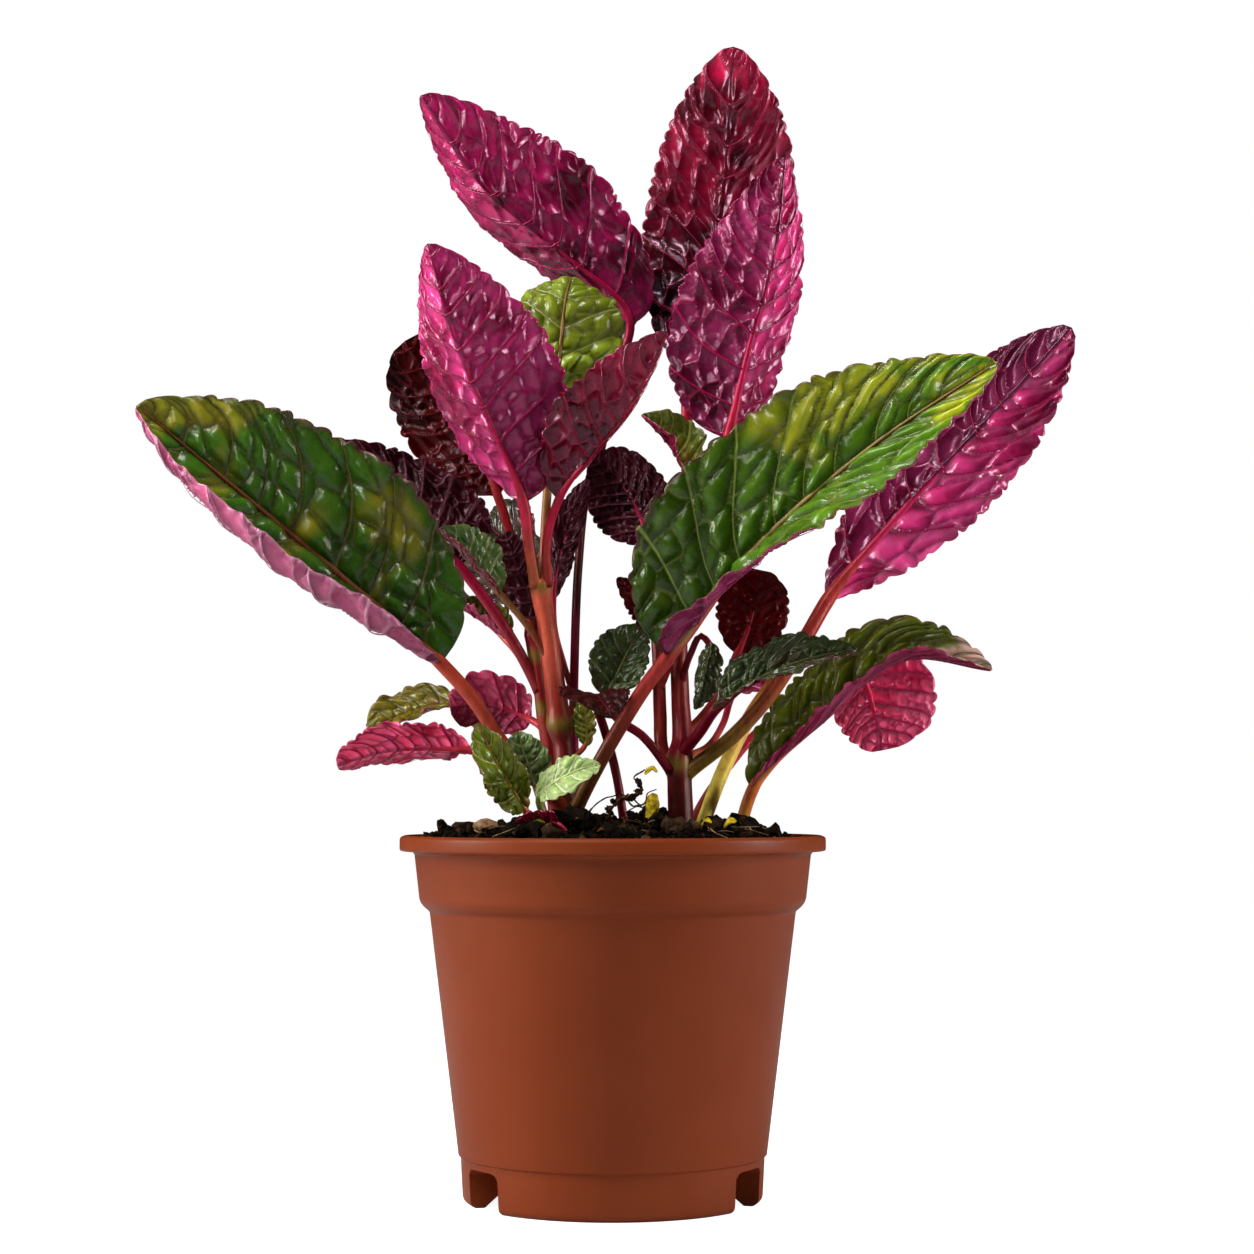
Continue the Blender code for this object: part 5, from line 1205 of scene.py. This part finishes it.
bright_skins = [leaf_material("glossy_upper_skin", 0.2, 0.42, (1, 1, 0.85), -1.0),
                leaf_material("satin_lower_skin", 0.19, 0.6, (1, 0.58, 0.78), 1.0), fleshy]
dark_skins = [leaf_material("dark_upper_skin", 0.2, 0.14, (1, 0.85, 0.85), -1.0),
              leaf_material("dark_lower_skin", 0.2, 0.14, (1, 0.55, 0.6), 1.0), fleshy]
DARK_LOOKS = ("dusk", "wine", "umber")
for seed, leaf in enumerate(LEAVES):
    look = LOOKS[leaf.look]
    blade = Blade(leaf, seed)
    points, faces, is_under, tint, vein_tint, weave = blade_part(blade, look)
    rods = rib_parts(blade, look)
    rib_points, rib_faces, rib_tint = join(rods)
    midrib_faces = sum(len(block) for block in rods[0][1])
    vein_faces = sum(len(block) for block in rib_faces) - midrib_faces
    slots = np.concatenate([is_under, np.full(midrib_faces, 2), np.ones(vein_faces)])
    faces += [block + len(points) for block in rib_faces]
    attributes = {"tint": np.concatenate([tint, rib_tint]),
                  "vein_tint": np.concatenate([vein_tint, rib_tint]),
                  "weave": np.concatenate([weave, np.zeros((len(rib_points), 3))])}
    skins = dark_skins if leaf.look in DARK_LOOKS else bright_skins
    points = np.concatenate([points, rib_points])
    piece = new_piece(leaf.name + "_blade", points, faces, skins, attributes, slots)
    dress(piece, look.slot, leaf.name)


# Floor, lights and camera
# A plain white floor and backdrop. Soft boxes stand left, right, above and in front at the upper left, and
# a weak wide far light fills in. The camera is 764 mm in front of the pot's axis and looks up a little.

FLOOR_HALF = 2.0             # metres, as all lengths are from here on
CAMERA_PLACE = (0.004, -0.764, 0.114)
CAMERA_PITCH = 93.5          # degrees from straight down
LENS = 77.5                  # focal length and sensor width in mm
SENSOR = 36
PLANT_MIDDLE = np.array([0, 0, 0.17])
# Name, place, width, height and power of each soft box
SOFT_BOXES = (("left_box", (-0.95, -0.12, 0.42), 0.2, 0.5, 9),
              ("right_box", (0.95, -0.1, 0.38), 0.16, 0.5, 7),
              ("top_box", (-0.25, -0.35, 1.0), 0.2, 0.2, 4),
              ("front_box", (-0.5, -0.85, 0.85), 0.3, 0.3, 2.5))


def set_up(name, data, place=(0, 0, 0), turn=(0, 0, 0)):
    """Object of the studio at a place and with a turn in radians."""
    made = bpy.data.objects.new(name, data)
    bpy.context.scene.collection.objects.link(made)
    made.location = place
    made.rotation_euler = turn
    return made


floor_mesh = bpy.data.meshes.new("studio_floor")
corners = ((-1, -1), (1, -1), (1, 1), (-1, 1))
floor_mesh.from_pydata([(x * FLOOR_HALF, y * FLOOR_HALF, 0) for x, y in corners], [], [(0, 1, 2, 3)])
white, tree, shader, _ = new_material("white_floor")
to_camera = add(tree, "LightPath", {}, "Is Camera Ray")
feed(shader, {"Base Color": (0.6, 0.6, 0.6, 1), "Roughness": 1.0, "Emission Color": (1, 1, 1, 1),
              "Emission Strength": spread(tree, to_camera, 0.0, 0.93)})
floor_mesh.materials.append(white)
floor = set_up("studio_floor", floor_mesh)

world = bpy.data.worlds.new("studio")
world.use_nodes = True
bpy.context.scene.world = world
tree = world.node_tree
to_camera = add(tree, "LightPath", {}, "Is Camera Ray")
feed(tree.nodes["Background"], {"Color": (1, 1, 1, 1), "Strength": spread(tree, to_camera, 0.03, 1.0)})

for name, place, width, height, power in SOFT_BOXES:
    lamp = bpy.data.lights.new(name, "AREA")
    lamp.shape = "RECTANGLE"
    lamp.size, lamp.size_y, lamp.energy = width, height, power
    aim = PLANT_MIDDLE - place
    pitch = math.atan2(math.hypot(aim[0], aim[1]), -aim[2])
    set_up(name, lamp, place, (pitch, 0, math.atan2(-aim[0], aim[1])))
sun = bpy.data.lights.new("far_light", "SUN")
sun.energy = 0.35
sun.angle = math.radians(25)
set_up("far_light", sun, turn=(math.radians(38), 0, math.radians(-50)))

lens = bpy.data.cameras.new("camera")
lens.lens = LENS
lens.sensor_width = SENSOR
bpy.context.scene.camera = set_up("camera", lens, CAMERA_PLACE, (math.radians(CAMERA_PITCH), 0, 0))
bpy.context.scene.view_settings.view_transform = "Standard"
